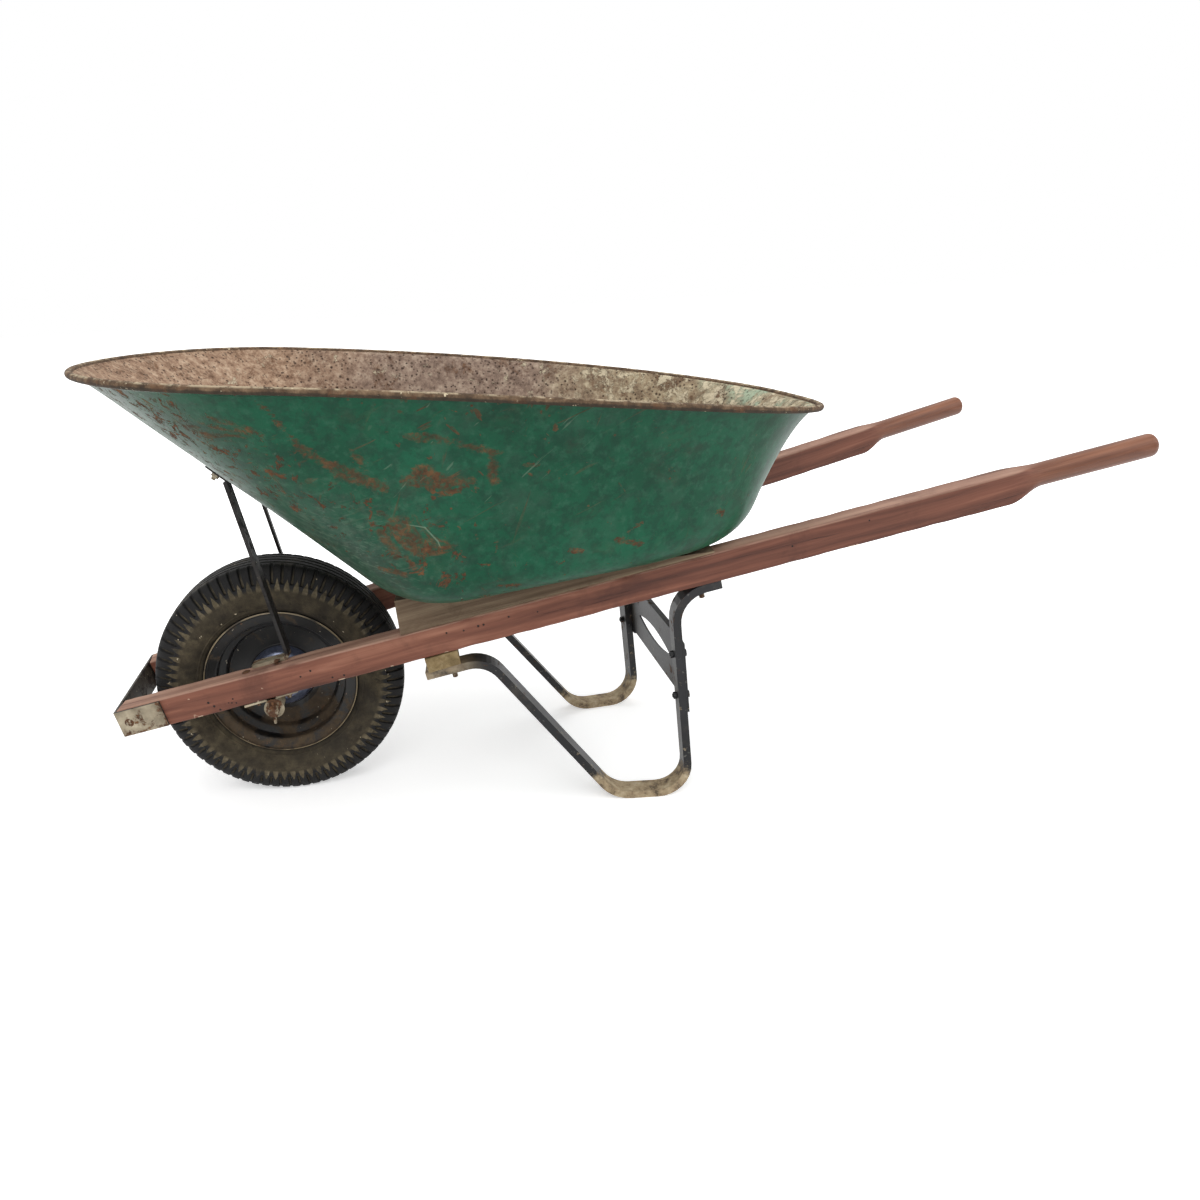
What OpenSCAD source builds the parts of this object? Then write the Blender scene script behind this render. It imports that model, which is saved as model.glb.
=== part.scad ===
// Wheelbarrow with a pressed steel tray, two wooden handles and one pneumatic wheel.
// Frame: millimetres, +Z up, +X towards the grips, ground at z = 0.
// The origin is the middle of the footprint, below the middle of the overall length.

/* [Wheel] */
// Outer radius of the tyre
wheel_r = 194; // [188:1:202]
// Width of the tyre at its sidewalls
tyre_w = 96; // [92:1:106]
// Depth of the grooves between the tread ribs
rib_depth = 3; // [1:0.5:4]
// Radius of the rim flange
flange_r = 118; // [112:1:122]
// Width of the rim over its flanges
rim_w = 76; // [70:1:80]
// Thickness of the rim's sheet steel
rim_wall = 2.2; // [1.5:0.1:3]
// Radius of the hub tube
hub_r = 17; // [15:0.5:20]
// Wall of the hub tube
hub_wall = 3; // [2:0.5:4]
// Length of each bearing
bearing_len = 14; // [10:1:18]

/* [Axle] */
// Radius of the axle
axle_r = 8; // [7:0.5:9]
// Radial clearance of the bearings on the axle
running_gap = 0.05; // [0.02:0.01:0.1]
// Height of the handle's underside above the middle of the axle
axle_drop = 16; // [14:0.5:22]
// Thickness of the bracket straps
bracket_t = 3; // [2:0.5:4]
// Width of the bracket straps
bracket_w = 30; // [24:1:34]
// Half length of each bracket along the handle
bracket_half = 41; // [36:1:50]
// Distance of each bracket bolt from the axle
bracket_bolt_s = 24; // [21:1:28]

/* [Handles] */
// Length of each handle
handle_len = 1524; // [1400:1:1650]
// Width of the handle timber
handle_w = 38; // [34:1:42]
// Height of the handle timber
handle_h = 44; // [40:1:48]
// Rise of the handles towards the grips, in degrees
handle_rise = 12; // [10:0.5:14]
// Splay of each handle from the middle line, in degrees
handle_splay = 5.28; // [4:0.1:6.5]
// Distance of each handle's middle from the centre line at the nose
nose_y = 94; // [88:1:104]
// Distance of the nose ends in front of the axle
nose_x = 230; // [215:1:250]
// Radius of the round grips
grip_r = 16.5; // [15:0.5:18]
// Length of the round grips
grip_len = 158; // [120:1:200]
// Length of the shoulder between the square timber and the grip
shoulder_len = 52; // [40:1:80]

/* [Tray] */
// Length of the tray over its rim
tray_len = 1046; // [950:1:1150]
// Distance of the tray's front rim in front of the axle
tray_front = 208; // [190:1:230]
// Half width of the tray at its rim
tray_half_w = 362; // [320:1:400]
// Distance of the widest place behind the front rim
tray_widest = 258; // [200:1:400]
// Height of the front rim above the floor's front end
tray_depth = 334; // [300:1:370]
// Fall of the rim from front to rear
rim_fall = 111; // [60:1:130]
// Length of the tray's floor, measured to its sharp corners
floor_len = 524; // [460:1:580]
// Half width of the tray's floor, measured to its sharp corners
floor_half_w = 244; // [225:1:260]
// Tilt of the tray's floor, rising to the rear, in degrees
floor_tilt = 5.7; // [4:0.1:7]
// Radius of the bend between wall and floor
belly_r = 58; // [40:1:80]
// Thickness of the tray's sheet steel
tray_wall = 1.8; // [1.5:0.1:3]
// Radius of the rolled rim
bead_r = 4.6; // [4:0.2:7]

/* [Wedges and bolster] */
// Place of the wedge's front end along the handle
wedge_front = 440; // [420:1:460]
// Height of the wedge at its front end
wedge_h = 54; // [48:1:60]
// Length of the wedge
wedge_len = 462; // [440:1:475]
// Place of the front tray bolts along the handle
front_bolt_s = 496; // [490:1:505]
// Place of the rear tray bolts along the handle
rear_bolt_s = 876; // [866:1:880]
// Width of the bolster
bolster_w = 49; // [45:1:60]
// Thickness of the bolster
bolster_h = 22; // [18:1:30]

/* [Legs] */
// Width of the leg channel
leg_w = 32; // [28:1:36]
// Depth of the leg channel's flanges
leg_flange = 12; // [10:1:16]
// Thickness of the leg steel
leg_t = 3; // [2:0.5:4]
// Distance of the foot's front corner behind the axle
foot_front = 508; // [480:1:530]
// Length of the foot between its sharp corners
foot_len = 109; // [90:1:130]
// Slope of the leg's front arm, in degrees
leg_slope = 52.6; // [48:0.2:58]
// Forward lean of the leg's rear arm, in degrees
leg_lean = 5; // [2:0.5:8]
// Radius of the leg's bends
leg_bend = 46; // [36:1:52]
// Distance of the leg's front end in front of the tray bolt
leg_front_lap = 34; // [25:1:45]
// Distance of the leg's rear tip behind the tray bolt
leg_rear_lap = 28; // [16:1:36]

/* [Leg brace] */
// Height of the middle of the cross brace above the ground
brace_z = 201; // [185:1:215]
// Height of the cross brace plate
brace_h = 100; // [80:1:110]
// Thickness of the cross brace
brace_t = 2.5; // [2:0.5:4]
// Length of the lens-shaped opening
lens_len = 190; // [150:1:210]
// Height of the lens-shaped opening
lens_h = 26; // [18:1:40]
// Height of the end tabs
tab_h = 112; // [90:1:130]

/* [Tray braces and nose guard] */
// Width of the tray brace bar
bar_w = 20; // [16:1:24]
// Thickness of the tray brace bar
bar_t = 5; // [4:0.5:6]
// Place of the brace on the tray, as an angle round its nose, in degrees
brace_angle = 164; // [155:1:168]
// Place of the brace on the tray, as a share of the wall's height
brace_share = 0.48; // [0.44:0.01:0.6]
// Length of the brace foot on the handle
foot_tab = 58; // [48:1:60]
// Height of the nose guard strap
guard_h = 40; // [34:1:44]
// Thickness of the nose guard strap
guard_t = 4; // [3:0.5:5]
// Length of the nose guard along each handle
guard_lap = 68; // [55:1:85]

/* [Fasteners] */
// Radius of the tray and leg bolts
bolt_r = 4; // [3.5:0.5:5]
// Radius of the small bolts
small_bolt_r = 3; // [2.5:0.5:3.5]
// Clearance round a bolt in its hole
bolt_gap = 0.4; // [0.2:0.1:0.8]
// Clearance between surfaces that only face each other
seat_gap = 0.2; // [0.1:0.05:0.4]

/* [Hidden] */
$fn = 48;

steel_black = [0.13, 0.13, 0.13];
steel_rust = [0.42, 0.31, 0.22];
paint_green = [0.17, 0.39, 0.29];
wood_red = [0.47, 0.27, 0.21];
wood_grey = [0.45, 0.37, 0.28];
rubber_grey = [0.16, 0.15, 0.14];

SIDES = [-1, 1];               // left is -1, on the -Y side
nut_h = 6.5;                   // height of a large nut
small_nut_h = 5;
stub = 14;                     // thread that stands out past a large nut
small_stub = 4;
axle_z = wheel_r;
rise_s = sin(handle_rise);
rise_c = cos(handle_rise);
splay_s = sin(handle_splay);
splay_c = cos(handle_splay);
axle_t = nose_x / splay_c;     // distance of the axle from the nose, along the handle in plan
nose_z = axle_z + (handle_h + axle_drop - axle_t * rise_s) / rise_c;
axle_s = axle_t * rise_c + (axle_z - nose_z) * rise_s;
bracket_bolts_s = [axle_s - bracket_bolt_s, axle_s + bracket_bolt_s];
guard_front = nose_x + handle_w / 2 * splay_s + guard_t * rise_c;
grip_back = handle_len * rise_c * splay_c - nose_x + 2 * grip_r * rise_s * splay_c;
origin_x = (guard_front - grip_back) / 2;

// ---------- helpers ----------

// Everything is designed with the axle at x = 0 and then moved to the origin.
module placed() translate([origin_x, 0, 0]) children();

// The left handle's own frame: X along the handle from its nose, Z out of its top face.
module on_left_handle()
    translate([-nose_x, -nose_y, nose_z])
        rotate([0, -handle_rise, -handle_splay]) children();

// Draws the children for one side; the children are made for the left one.
module on_side(side) if (side < 0) children(); else mirror([0, 1, 0]) children();

function unit(v) = v / norm(v);
function heading(a, b) = atan2(b[1] - a[1], b[0] - a[0]);

// The points of one rounded corner b between a and c.
function corner(a, b, c, r, steps) =
    let (u = unit(a - b), v = unit(c - b), half = acos(max(-1, min(1, u * v))) / 2)
    r <= 0 || half > 89.5 ? [b] :
    let (reach = min(r / tan(half), 0.98 * norm(a - b), 0.98 * norm(c - b)),
         rr = reach * tan(half),
         mid = b + unit(u + v) * rr / sin(half),
         p = b + u * reach,
         q = b + v * reach,
         a0 = heading(mid, p),
         turn = let (d = heading(mid, q) - a0) d > 180 ? d - 360 : d < -180 ? d + 360 : d)
    [for (i = [0 : steps]) mid + rr * [cos(a0 + turn * i / steps), sin(a0 + turn * i / steps)]];

// An open path through pts, each given as [x, y, bend radius].
function rounded(pts, steps = 8) =
    let (n = len(pts), flat = [for (p = pts) [p[0], p[1]]])
    [for (i = [0 : n - 1])
        each (i == 0 || i == n - 1 ? [flat[i]] : corner(flat[i - 1], flat[i], flat[i + 1], pts[i][2], steps))];

// The path moved sideways by d; positive is to the right of its direction.
function beside(path, d) =
    [for (i = [0 : len(path) - 1])
        let (u = unit(path[min(i + 1, len(path) - 1)] - path[min(i, len(path) - 2)]),
             w = unit(path[max(i, 1)] - path[max(i - 1, 0)]),
             m = unit([u[1] + w[1], -u[0] - w[0]]),
             k = m * [u[1], -u[0]])
        path[i] + m * d / k];

function reversed(list) = [for (i = [len(list) - 1 : -1 : 0]) list[i]];
function strip(path, near, far) = concat(beside(path, near), reversed(beside(path, far)));

module rounded_bar(size, r) {
    linear_extrude(height = size[2])
        translate([r, r])
            offset(r = r) square([size[0] - 2 * r, size[1] - 2 * r]);
}

module hex_nut(r, h) {
    difference() {
        cylinder(r = r * 1.85, h = h, $fn = 6);
        translate([0, 0, -1]) cylinder(r = r + running_gap, h = h + 2);
    }
}

// A carriage bolt: domed head above z = 0, shank down to z = -length.
module carriage_bolt(r, length) {
    head_r = r * 2.3;
    head_h = r * 0.75;
    dome_r = (head_r * head_r + head_h * head_h) / (2 * head_h);
    rotate_extrude() polygon(concat([[0, 0], [0.96 * head_r, 0]],
        [for (i = [0 : 6]) let (x = 0.96 * head_r * (6 - i) / 6)
            [x, head_h - dome_r + sqrt(dome_r * dome_r - x * x)]]));
    translate([0, 0, -length]) cylinder(r = r, h = length + 0.4 * head_h);
}

module hex_bolt(r, length) {
    cylinder(r = r * 1.85, h = r * 1.3, $fn = 6);
    translate([0, 0, -length]) cylinder(r = r, h = length);
}

module bolt_hole(r, length) translate([0, 0, -length / 2]) cylinder(r = r + bolt_gap, h = length);

// ---------- tray ----------

TRAY_STEPS = 96;
WALL_STEPS = 5;
BELLY_STEPS = 6;
BEAD_STEPS = 8;
rim_round_front = 1.95;
rim_round_rear = 2.8;
floor_round_front = 2.8;
floor_round_rear = 4.2;
wall_flare_front = 1.0;
wall_flare_rear = 0.65;
rim_curve = 1.45;

// The floor plane passes through the front top edge of the wedges.
wedge_top_x = wedge_front * rise_c * splay_c - nose_x - wedge_h * rise_s * splay_c;
wedge_top_z = nose_z + wedge_front * rise_s + wedge_h * rise_c;
floor_rise = tan(floor_tilt);
function floor_z(x) = wedge_top_z + seat_gap + floor_rise * (x - wedge_top_x);
floor_front_x = wedge_top_x;
floor_rear_x = floor_front_x + floor_len;
floor_mid_x = floor_front_x + 0.21 * floor_len;
rim_front_x = -tray_front;
rim_rear_x = tray_len - tray_front;
rim_mid_x = tray_widest - tray_front;
rim_front_z = floor_z(wedge_top_x) + tray_depth;

function signed_pow(v, p) = sign(v) * pow(abs(v), p);
// A closed egg-shaped outline, at angle a from the rear.
function egg(a, front, rear, mid, half_w, round_f, round_r) =
    let (n = cos(a) > 0 ? round_r : round_f, reach = cos(a) > 0 ? rear - mid : mid - front)
    [mid + reach * signed_pow(cos(a), 2 / n), half_w * signed_pow(sin(a), 2 / n)];
function rim_z(x) = rim_front_z
    - rim_fall * pow(max(0, (x - rim_front_x) / tray_len), rim_curve);
function rim_pt(a) =
    let (p = egg(a, rim_front_x, rim_rear_x, rim_mid_x, tray_half_w, rim_round_front, rim_round_rear))
    [p[0], p[1], rim_z(p[0])];
function foot_pt(a) =
    let (p = egg(a, floor_front_x, floor_rear_x, floor_mid_x, floor_half_w, floor_round_front,
                 floor_round_rear))
    [p[0], p[1], floor_z(p[0])];
function floor_in_pt(a) =
    let (f = foot_pt(a), m = [(floor_front_x + floor_rear_x) / 2, 0],
         k = belly_r / norm([f[0] - m[0], f[1]]), x = f[0] + (m[0] - f[0]) * k)
    [x, f[1] * (1 - k), floor_z(x)];
// The outer skin above the bend, at share u of the wall from the rim down.
function wall_pt(a, u) =
    let (p = rim_pt(a), f = foot_pt(a),
         flare = (wall_flare_front * (1 - cos(a)) + wall_flare_rear * (1 + cos(a))) / 2,
         h = pow(u, flare))
    [p[0] + (f[0] - p[0]) * h, p[1] + (f[1] - p[1]) * h, p[2] + (f[2] - p[2]) * u];
function wall_end(a) = 1 - belly_r / norm(foot_pt(a) - rim_pt(a));
function belly_pt(a, v) =
    (1 - v) * (1 - v) * wall_pt(a, wall_end(a)) + 2 * v * (1 - v) * foot_pt(a) + v * v * floor_in_pt(a);
// The outer skin from the rim (k = 0) to the flat floor.
SKIN_RINGS = WALL_STEPS + BELLY_STEPS;
function skin_pt(a, k) = k <= WALL_STEPS
    ? wall_pt(a, wall_end(a) * k / WALL_STEPS)
    : belly_pt(a, (k - WALL_STEPS) / BELLY_STEPS);
// The skin's outward normal, from its neighbours.
function skin_normal(a, k) =
    let (along = skin_pt(a + 1, k) - skin_pt(a - 1, k),
         down = skin_pt(a, min(k + 0.5, SKIN_RINGS)) - skin_pt(a, max(k - 0.5, 0)))
    unit(cross(down, along));
function plan_out(a) = let (d = rim_pt(a + 1) - rim_pt(a - 1)) unit([d[1], -d[0], 0]);
// The rolled rim: a round bead on the outside of the skin's top edge.
function bead_pt(a, i) =
    let (mid = rim_pt(a) + plan_out(a) * -bead_r, t = 180 - 300 * i / BEAD_STEPS)
    mid + plan_out(a) * bead_r * cos(t) + [0, 0, bead_r * sin(t)];
function inner_pt(a, k) = skin_pt(a, k) - skin_normal(a, k) * tray_wall;

// The skin hangs from the inner side of the bead, so it leans in near the rim.
function lean_in(k) = k >= WALL_STEPS ? 0 : (2 * bead_r - tray_wall) * (1 - k / WALL_STEPS);
function leaned(p, a, k) = p - plan_out(a) * lean_in(k);
NEAR_RIM = 0.16;

// A ring of points: up the outer skin, over the bead and down the inner skin.
function tray_ring(a) = concat(
    [for (k = [SKIN_RINGS : -1 : 1]) leaned(skin_pt(a, k), a, k)],
    [leaned(skin_pt(a, NEAR_RIM), a, NEAR_RIM)],
    [for (i = [BEAD_STEPS : -1 : 0]) bead_pt(a, i)],
    [leaned(inner_pt(a, NEAR_RIM), a, NEAR_RIM)],
    [for (k = [1 : SKIN_RINGS]) leaned(inner_pt(a, k), a, k)]);
RING = 2 * SKIN_RINGS + BEAD_STEPS + 3;

module tray_shell() {
    rings = [for (j = [0 : TRAY_STEPS - 1]) each tray_ring(360 * j / TRAY_STEPS)];
    mid_x = (floor_front_x + floor_rear_x) / 2;
    low = [mid_x, 0, floor_z(mid_x)];
    high = [mid_x, 0, floor_z(mid_x) + tray_wall];
    sides = [for (j = [0 : TRAY_STEPS - 1], k = [0 : RING - 2])
        let (m = j * RING + k, n = ((j + 1) % TRAY_STEPS) * RING + k)
        each [[m, m + 1, n], [n, m + 1, n + 1]]];
    centre = TRAY_STEPS * RING;
    bottom = [for (j = [0 : TRAY_STEPS - 1]) [centre, j * RING, ((j + 1) % TRAY_STEPS) * RING]];
    top = [for (j = [0 : TRAY_STEPS - 1])
        [centre + 1, ((j + 1) % TRAY_STEPS) * RING + RING - 1, j * RING + RING - 1]];
    polyhedron(points = concat(rings, [low, high]), faces = concat(sides, bottom, top), convexity = 6);
}

// Unit directions of the left handle: along it, across it towards the middle, and up from its top.
along_handle = [rise_c * splay_c, -rise_c * splay_s, rise_s];
across_handle = [splay_s, splay_c, 0];
up_handle = [-rise_s * splay_c, rise_s * splay_s, rise_c];
function to_handle(p) = let (d = p - [-nose_x, -nose_y, nose_z])
    [d * along_handle, d * across_handle, d * up_handle];

// Where the left tray brace meets the tray, and the frame of the skin there.
brace_a = 360 - brace_angle;
brace_k = brace_share * WALL_STEPS;
function leaned_skin(a, k) = leaned(skin_pt(a, k), a, k);
brace_at = leaned_skin(brace_a, brace_k);
brace_n = unit(cross(leaned_skin(brace_a, brace_k + 0.2) - leaned_skin(brace_a, brace_k - 0.2),
    leaned_skin(brace_a + 1, brace_k) - leaned_skin(brace_a - 1, brace_k)));
brace_e = unit(cross(brace_n, across_handle));
brace_w = cross(brace_n, brace_e);
// The frame whose X runs up the tab, and whose Z points out of the tray's skin.
module on_brace_tab()
    multmatrix([[brace_e[0], brace_w[0], brace_n[0], brace_at[0]],
                [brace_e[1], brace_w[1], brace_n[1], brace_at[1]],
                [brace_e[2], brace_w[2], brace_n[2], brace_at[2]],
                [0, 0, 0, 1]]) children();

// The round heads clear the wedge's tilt and the belly's rise below them.
lift_front = 2.5;
lift_rear = 3.8;
module tray() {
    color(paint_green)
        placed() difference() {
            tray_shell();
            for (side = SIDES) on_side(side) {
                for (s = [front_bolt_s, rear_bolt_s])
                    on_left_handle() translate([s, 0, 30]) bolt_hole(bolt_r, 100);
                on_brace_tab() bolt_hole(small_bolt_r, 20);
            }
        }
}

// ---------- handles ----------

grip_start = handle_len - grip_len;
shoulder_start = grip_start - shoulder_len;
grip_h = -grip_r;              // the grip's top is level with the handle's top

// The rounded grip end, and the round part, turned from one profile.
module grip_body()
    translate([grip_start - shoulder_len, 0, grip_h]) rotate([0, 90, 0])
        rotate_extrude($fn = 64)
            polygon(concat([[0, 0]], [[grip_r, 0]],
                [for (i = [0 : 8]) [grip_r - 8 + 8 * cos(90 * i / 8),
                                    shoulder_len + grip_len - 8 + 8 * sin(90 * i / 8)]],
                [[0, shoulder_len + grip_len]]));

// The square timber, cut back to a cone where it meets the grip.
module square_timber() {
    half_h = handle_h / 2;
    corner_r = norm([handle_w / 2, handle_h - grip_r]) + 1;
    intersection() {
        translate([0, -handle_w / 2, -handle_h]) cube([grip_start, handle_w, handle_h]);
        union() {
            translate([-1, -handle_w, -2 * handle_h])
                cube([shoulder_start + 1, 2 * handle_w, 3 * handle_h]);
            translate([shoulder_start - 0.01, 0, grip_h]) rotate([0, 90, 0])
                cylinder(r1 = corner_r, r2 = grip_r, h = shoulder_len + 0.01, $fn = 64);
        }
    }
}

module handle_holes() {
    for (s = [front_bolt_s, rear_bolt_s])
        translate([s, 0, 0]) bolt_hole(bolt_r, 4 * handle_h);
    for (s = bracket_bolts_s) translate([s, 0, 0]) bolt_hole(small_bolt_r, 4 * handle_h);
    translate([guard_bolt_s, 0, guard_mid_h]) rotate([90, 0, 0])
        bolt_hole(small_bolt_r, 4 * handle_w);
}

module left_handle_body() difference() {
    union() {
        square_timber();
        grip_body();
    }
    handle_holes();
}

module left_handle() color(wood_red) placed() on_left_handle() left_handle_body();
module right_handle() color(wood_red) placed() on_side(1) on_left_handle() left_handle_body();

// ---------- wedges and bolster ----------

module above_floor_plane()
    translate([wedge_top_x, 0, floor_z(wedge_top_x) - seat_gap]) rotate([0, -floor_tilt, 0])
        translate([-400, -600, 0]) cube([1400, 1200, 200]);

module left_wedge_body() difference() {
    on_left_handle() difference() {
        translate([wedge_front, -handle_w / 2, seat_gap])
            cube([wedge_len, handle_w, wedge_h + 60]);
        // the sawn front end leans back a little
        translate([wedge_front, -handle_w, 0]) rotate([0, 8, 0])
            translate([-60, 0, -20]) cube([60, 2 * handle_w, 3 * wedge_h]);
        for (s = [front_bolt_s, rear_bolt_s])
            translate([s, 0, 0]) bolt_hole(bolt_r, 400);
    }
    above_floor_plane();
}

module left_wedge() color(wood_grey) placed() left_wedge_body();
module right_wedge() color(wood_grey) placed() on_side(1) left_wedge_body();

bolster_gap = 0.45;            // the splayed handles are a hair lower at their outer edges
bolster_half = nose_y + (front_bolt_s + 4) * rise_c * splay_s + handle_w / 2 * splay_c;
bolster_x = -nose_x + front_bolt_s * rise_c * splay_c + handle_h * rise_s * splay_c;
bolster_z = nose_z + front_bolt_s * rise_s - handle_h * rise_c;

module front_bolster() {
    color(wood_grey) placed() difference() {
        translate([bolster_x, 0, bolster_z]) rotate([0, -handle_rise, 0])
            translate([-bolster_w / 2 - 10.5, -bolster_half, -bolster_gap - bolster_h])
                cube([bolster_w, 2 * bolster_half, bolster_h]);
        for (side = SIDES) on_side(side) on_left_handle()
            translate([front_bolt_s, 0, 0]) bolt_hole(bolt_r + 0.2, 4 * handle_h);
    }
}

// ---------- legs ----------

// The leg bends in the upright plane of the handle's middle line; t runs along that line in plan.
leg_k = tan(handle_rise);
// How far the leg web's lower face lies below the handle, at the front and rear tray bolts.
drop_f = bolster_gap + bolster_h + 0.5 + seat_gap + leg_t;
drop_r = seat_gap + leg_t;
handle_low_z = nose_z - handle_h * rise_c - handle_h * rise_s * leg_k;
function under_handle(t) = handle_low_z + leg_k * t;
bolster_drop = (bolster_gap + bolster_h + 0.5) / rise_c;
function under_bolster(t) = under_handle(t) - bolster_drop;
front_bolt_t = front_bolt_s * rise_c + handle_h * rise_s;
rear_bolt_t = rear_bolt_s * rise_c + handle_h * rise_s;
leg_start_t = front_bolt_t - leg_front_lap;
leg_end_t = rear_bolt_t + leg_rear_lap;
foot_t = (foot_front + nose_x) / splay_c;
foot_end_t = foot_t + foot_len;
// The front arm meets the bolster's underside where its slope passes through the foot's corner.
arm_k = tan(leg_slope);
arm_t = (leg_flange - under_bolster(0) + arm_k * foot_t) / (leg_k + arm_k);
lean_k = tan(leg_lean);
top_t = (foot_end_t - lean_k * (under_handle(0) - leg_flange)) / (1 + lean_k * leg_k);
leg_seat = seat_gap / rise_c;
leg_path = rounded([
    [leg_start_t, under_bolster(leg_start_t) - leg_seat, 0],
    [arm_t, under_bolster(arm_t) - leg_seat, leg_bend + 7],
    [foot_t, leg_flange, leg_bend + 4],
    [foot_end_t, leg_flange, leg_bend - 6],
    [top_t, under_handle(top_t) - leg_seat, leg_bend + 10],
    [leg_end_t, under_handle(leg_end_t) - leg_seat, 0]]);

// The channel's hollow runs out past both ends.
leg_steps = len(leg_path);
pocket_path = concat([leg_path[0] - 3 * unit(leg_path[1] - leg_path[0])],
    [for (i = [1 : leg_steps - 2]) leg_path[i]],
    [leg_path[leg_steps - 1] + 3 * unit(leg_path[leg_steps - 1] - leg_path[leg_steps - 2])]);

// The left leg's frame: X along the handle in plan, Y up, Z outwards.
module on_left_leg()
    translate([-nose_x, -nose_y, 0]) rotate([0, 0, -handle_splay]) rotate([90, 0, 0]) children();

module left_leg_body() difference() {
    on_left_leg() translate([0, 0, -leg_w / 2]) linear_extrude(height = leg_w)
        polygon(strip(leg_path, 0, leg_flange));
    union() {
        on_left_leg() translate([0, 0, leg_t - leg_w / 2]) linear_extrude(height = leg_w - 2 * leg_t)
            polygon(strip(pocket_path, leg_t, leg_flange + 3));
        for (sd = [[front_bolt_s, drop_f], [rear_bolt_s, drop_r]])
            on_left_handle() translate([sd[0], 0, -handle_h - sd[1] - 2]) rotate([0, 0, 90])
                cylinder(r = bolt_r + bolt_gap, h = leg_t + 5);
    }
    on_left_leg() brace_tab_places() translate([0, 0, leg_t / 2]) bolt_hole(small_bolt_r, 5 * leg_t);
}

module left_leg() color(steel_black) placed() left_leg_body();
module right_leg() color(steel_black) placed() on_side(1) left_leg_body();

// ---------- leg brace ----------

// The rear arm's line at height z; its web is in front and its flange edges behind.
function arm_line(z) = foot_end_t - lean_k * (z - leg_flange);
tab_bolts = [-34, 34];
// Frames at the tab's bolts: Z points backwards out of the arm.
module brace_tab_places()
    for (d = tab_bolts) translate([arm_line(brace_z + d), brace_z + d, 0])
        rotate([0, 90, 0]) rotate([-leg_lean, 0, 0]) children();

// The cross brace stands against the flange edges of both rear arms.
plate_off = leg_flange / cos(leg_lean) + seat_gap;
brace_arm_y = nose_y + arm_line(brace_z) * splay_s;
brace_in_y = brace_arm_y - (leg_w / 2 + 8) * splay_c;
brace_x = -nose_x + (arm_line(brace_z) + plate_off) * splay_c + (leg_w / 2 + 8) * splay_s;

module lens(length, height) {
    r = (length * length / 4 + height * height / 4) / height;
    intersection_for (k = [-1, 1])
        translate([0, k * (r - height / 2)]) circle(r = r, $fn = 128);
}

module leg_brace() {
    color(steel_black) placed() difference() {
        union() {
            translate([brace_x, 0, brace_z]) rotate([0, -leg_lean, 0]) {
                translate([0, -brace_in_y - 1, -brace_h / 2])
                    cube([brace_t, 2 * brace_in_y + 2, brace_h]);
                for (z = [-brace_h / 2, brace_h / 2 - brace_t])
                    translate([0, -brace_in_y + 6, z]) cube([9, 2 * brace_in_y - 12, brace_t]);
            }
            for (side = SIDES) on_side(side) on_left_leg()
                translate([arm_line(brace_z) + plate_off, brace_z, 0]) rotate([0, 0, leg_lean])
                    translate([0, -tab_h / 2, -leg_w / 2 - 9]) cube([brace_t, tab_h, leg_w + 9]);
        }
        translate([brace_x, 0, brace_z]) rotate([0, 90 - leg_lean, 0]) rotate([0, 0, 90])
            translate([0, 0, -20]) linear_extrude(height = 60) lens(lens_len, lens_h);
        for (side = SIDES) on_side(side) on_left_leg() brace_tab_places() bolt_hole(small_bolt_r, 60);
    }
}

// ---------- tray braces ----------

brace_top = to_handle(brace_at);
tab_e = [brace_e * along_handle, brace_e * up_handle];
tab_n = [brace_n * along_handle, brace_n * up_handle];
tab_up = tab_e[1] > 0 ? 1 : -1;
tab_low = 21;
tab_high = 17;
foot_h = seat_gap + bar_t;
foot_back_s = bracket_bolts_s[1] + 19;
foot_top_pt = [brace_top[0], brace_top[2]] - tab_e * tab_up * (tab_low - 4) + tab_n * (bar_t + 0.6 - 1.6);
bar_path = rounded([[foot_back_s - foot_tab, seat_gap, 0], [foot_back_s, seat_gap, 7],
    [foot_top_pt[0], foot_top_pt[1], 0]], 5);

module left_tray_brace_body() difference() {
    union() {
        on_left_handle() translate([0, brace_top[1], 0]) rotate([90, 0, 0])
            translate([0, 0, -bar_w / 2]) linear_extrude(height = bar_w)
                polygon(strip(bar_path, -bar_t, 0));
        on_brace_tab() translate([tab_up > 0 ? -tab_low : -tab_high, -bar_w / 2 - 1, 0.6])
            rounded_bar([tab_low + tab_high, bar_w + 2, bar_t], 5);
    }
    on_left_handle() translate([bracket_bolts_s[1], 0, 0]) bolt_hole(small_bolt_r, 40);
    on_brace_tab() bolt_hole(small_bolt_r, 40);
}

module left_tray_brace() color(steel_rust) placed() left_tray_brace_body();
module right_tray_brace() color(steel_rust) placed() on_side(1) left_tray_brace_body();

// ---------- nose guard ----------

guard_mid_h = -handle_h / 2;
guard_bolt_s = 14;
guard_in_y = nose_y + handle_w / 2 * splay_c + 0.0;
corner_gap = 0.15;

// The corner of the left handle's nose, where the strap folds back along the outer face.
module guard_side() {
    translate([0, -handle_w / 2 - corner_gap - guard_t, guard_mid_h - guard_h / 2])
        cube([guard_lap, guard_t, guard_h]);
    difference() {
        translate([0, -handle_w / 2, guard_mid_h - guard_h / 2])
            cylinder(r = guard_t + corner_gap, h = guard_h);
        translate([-corner_gap, -handle_w / 2 - corner_gap, -2 * handle_h])
            cube([40, 40, 3 * handle_h]);
        translate([corner_gap, -3 * handle_w, -2 * handle_h])
            cube([40, 3 * handle_w, 3 * handle_h]);
    }
}

nose_corner_x = -nose_x - handle_w / 2 * splay_s;
nose_corner_y = -nose_y - handle_w / 2 * splay_c;

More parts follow.
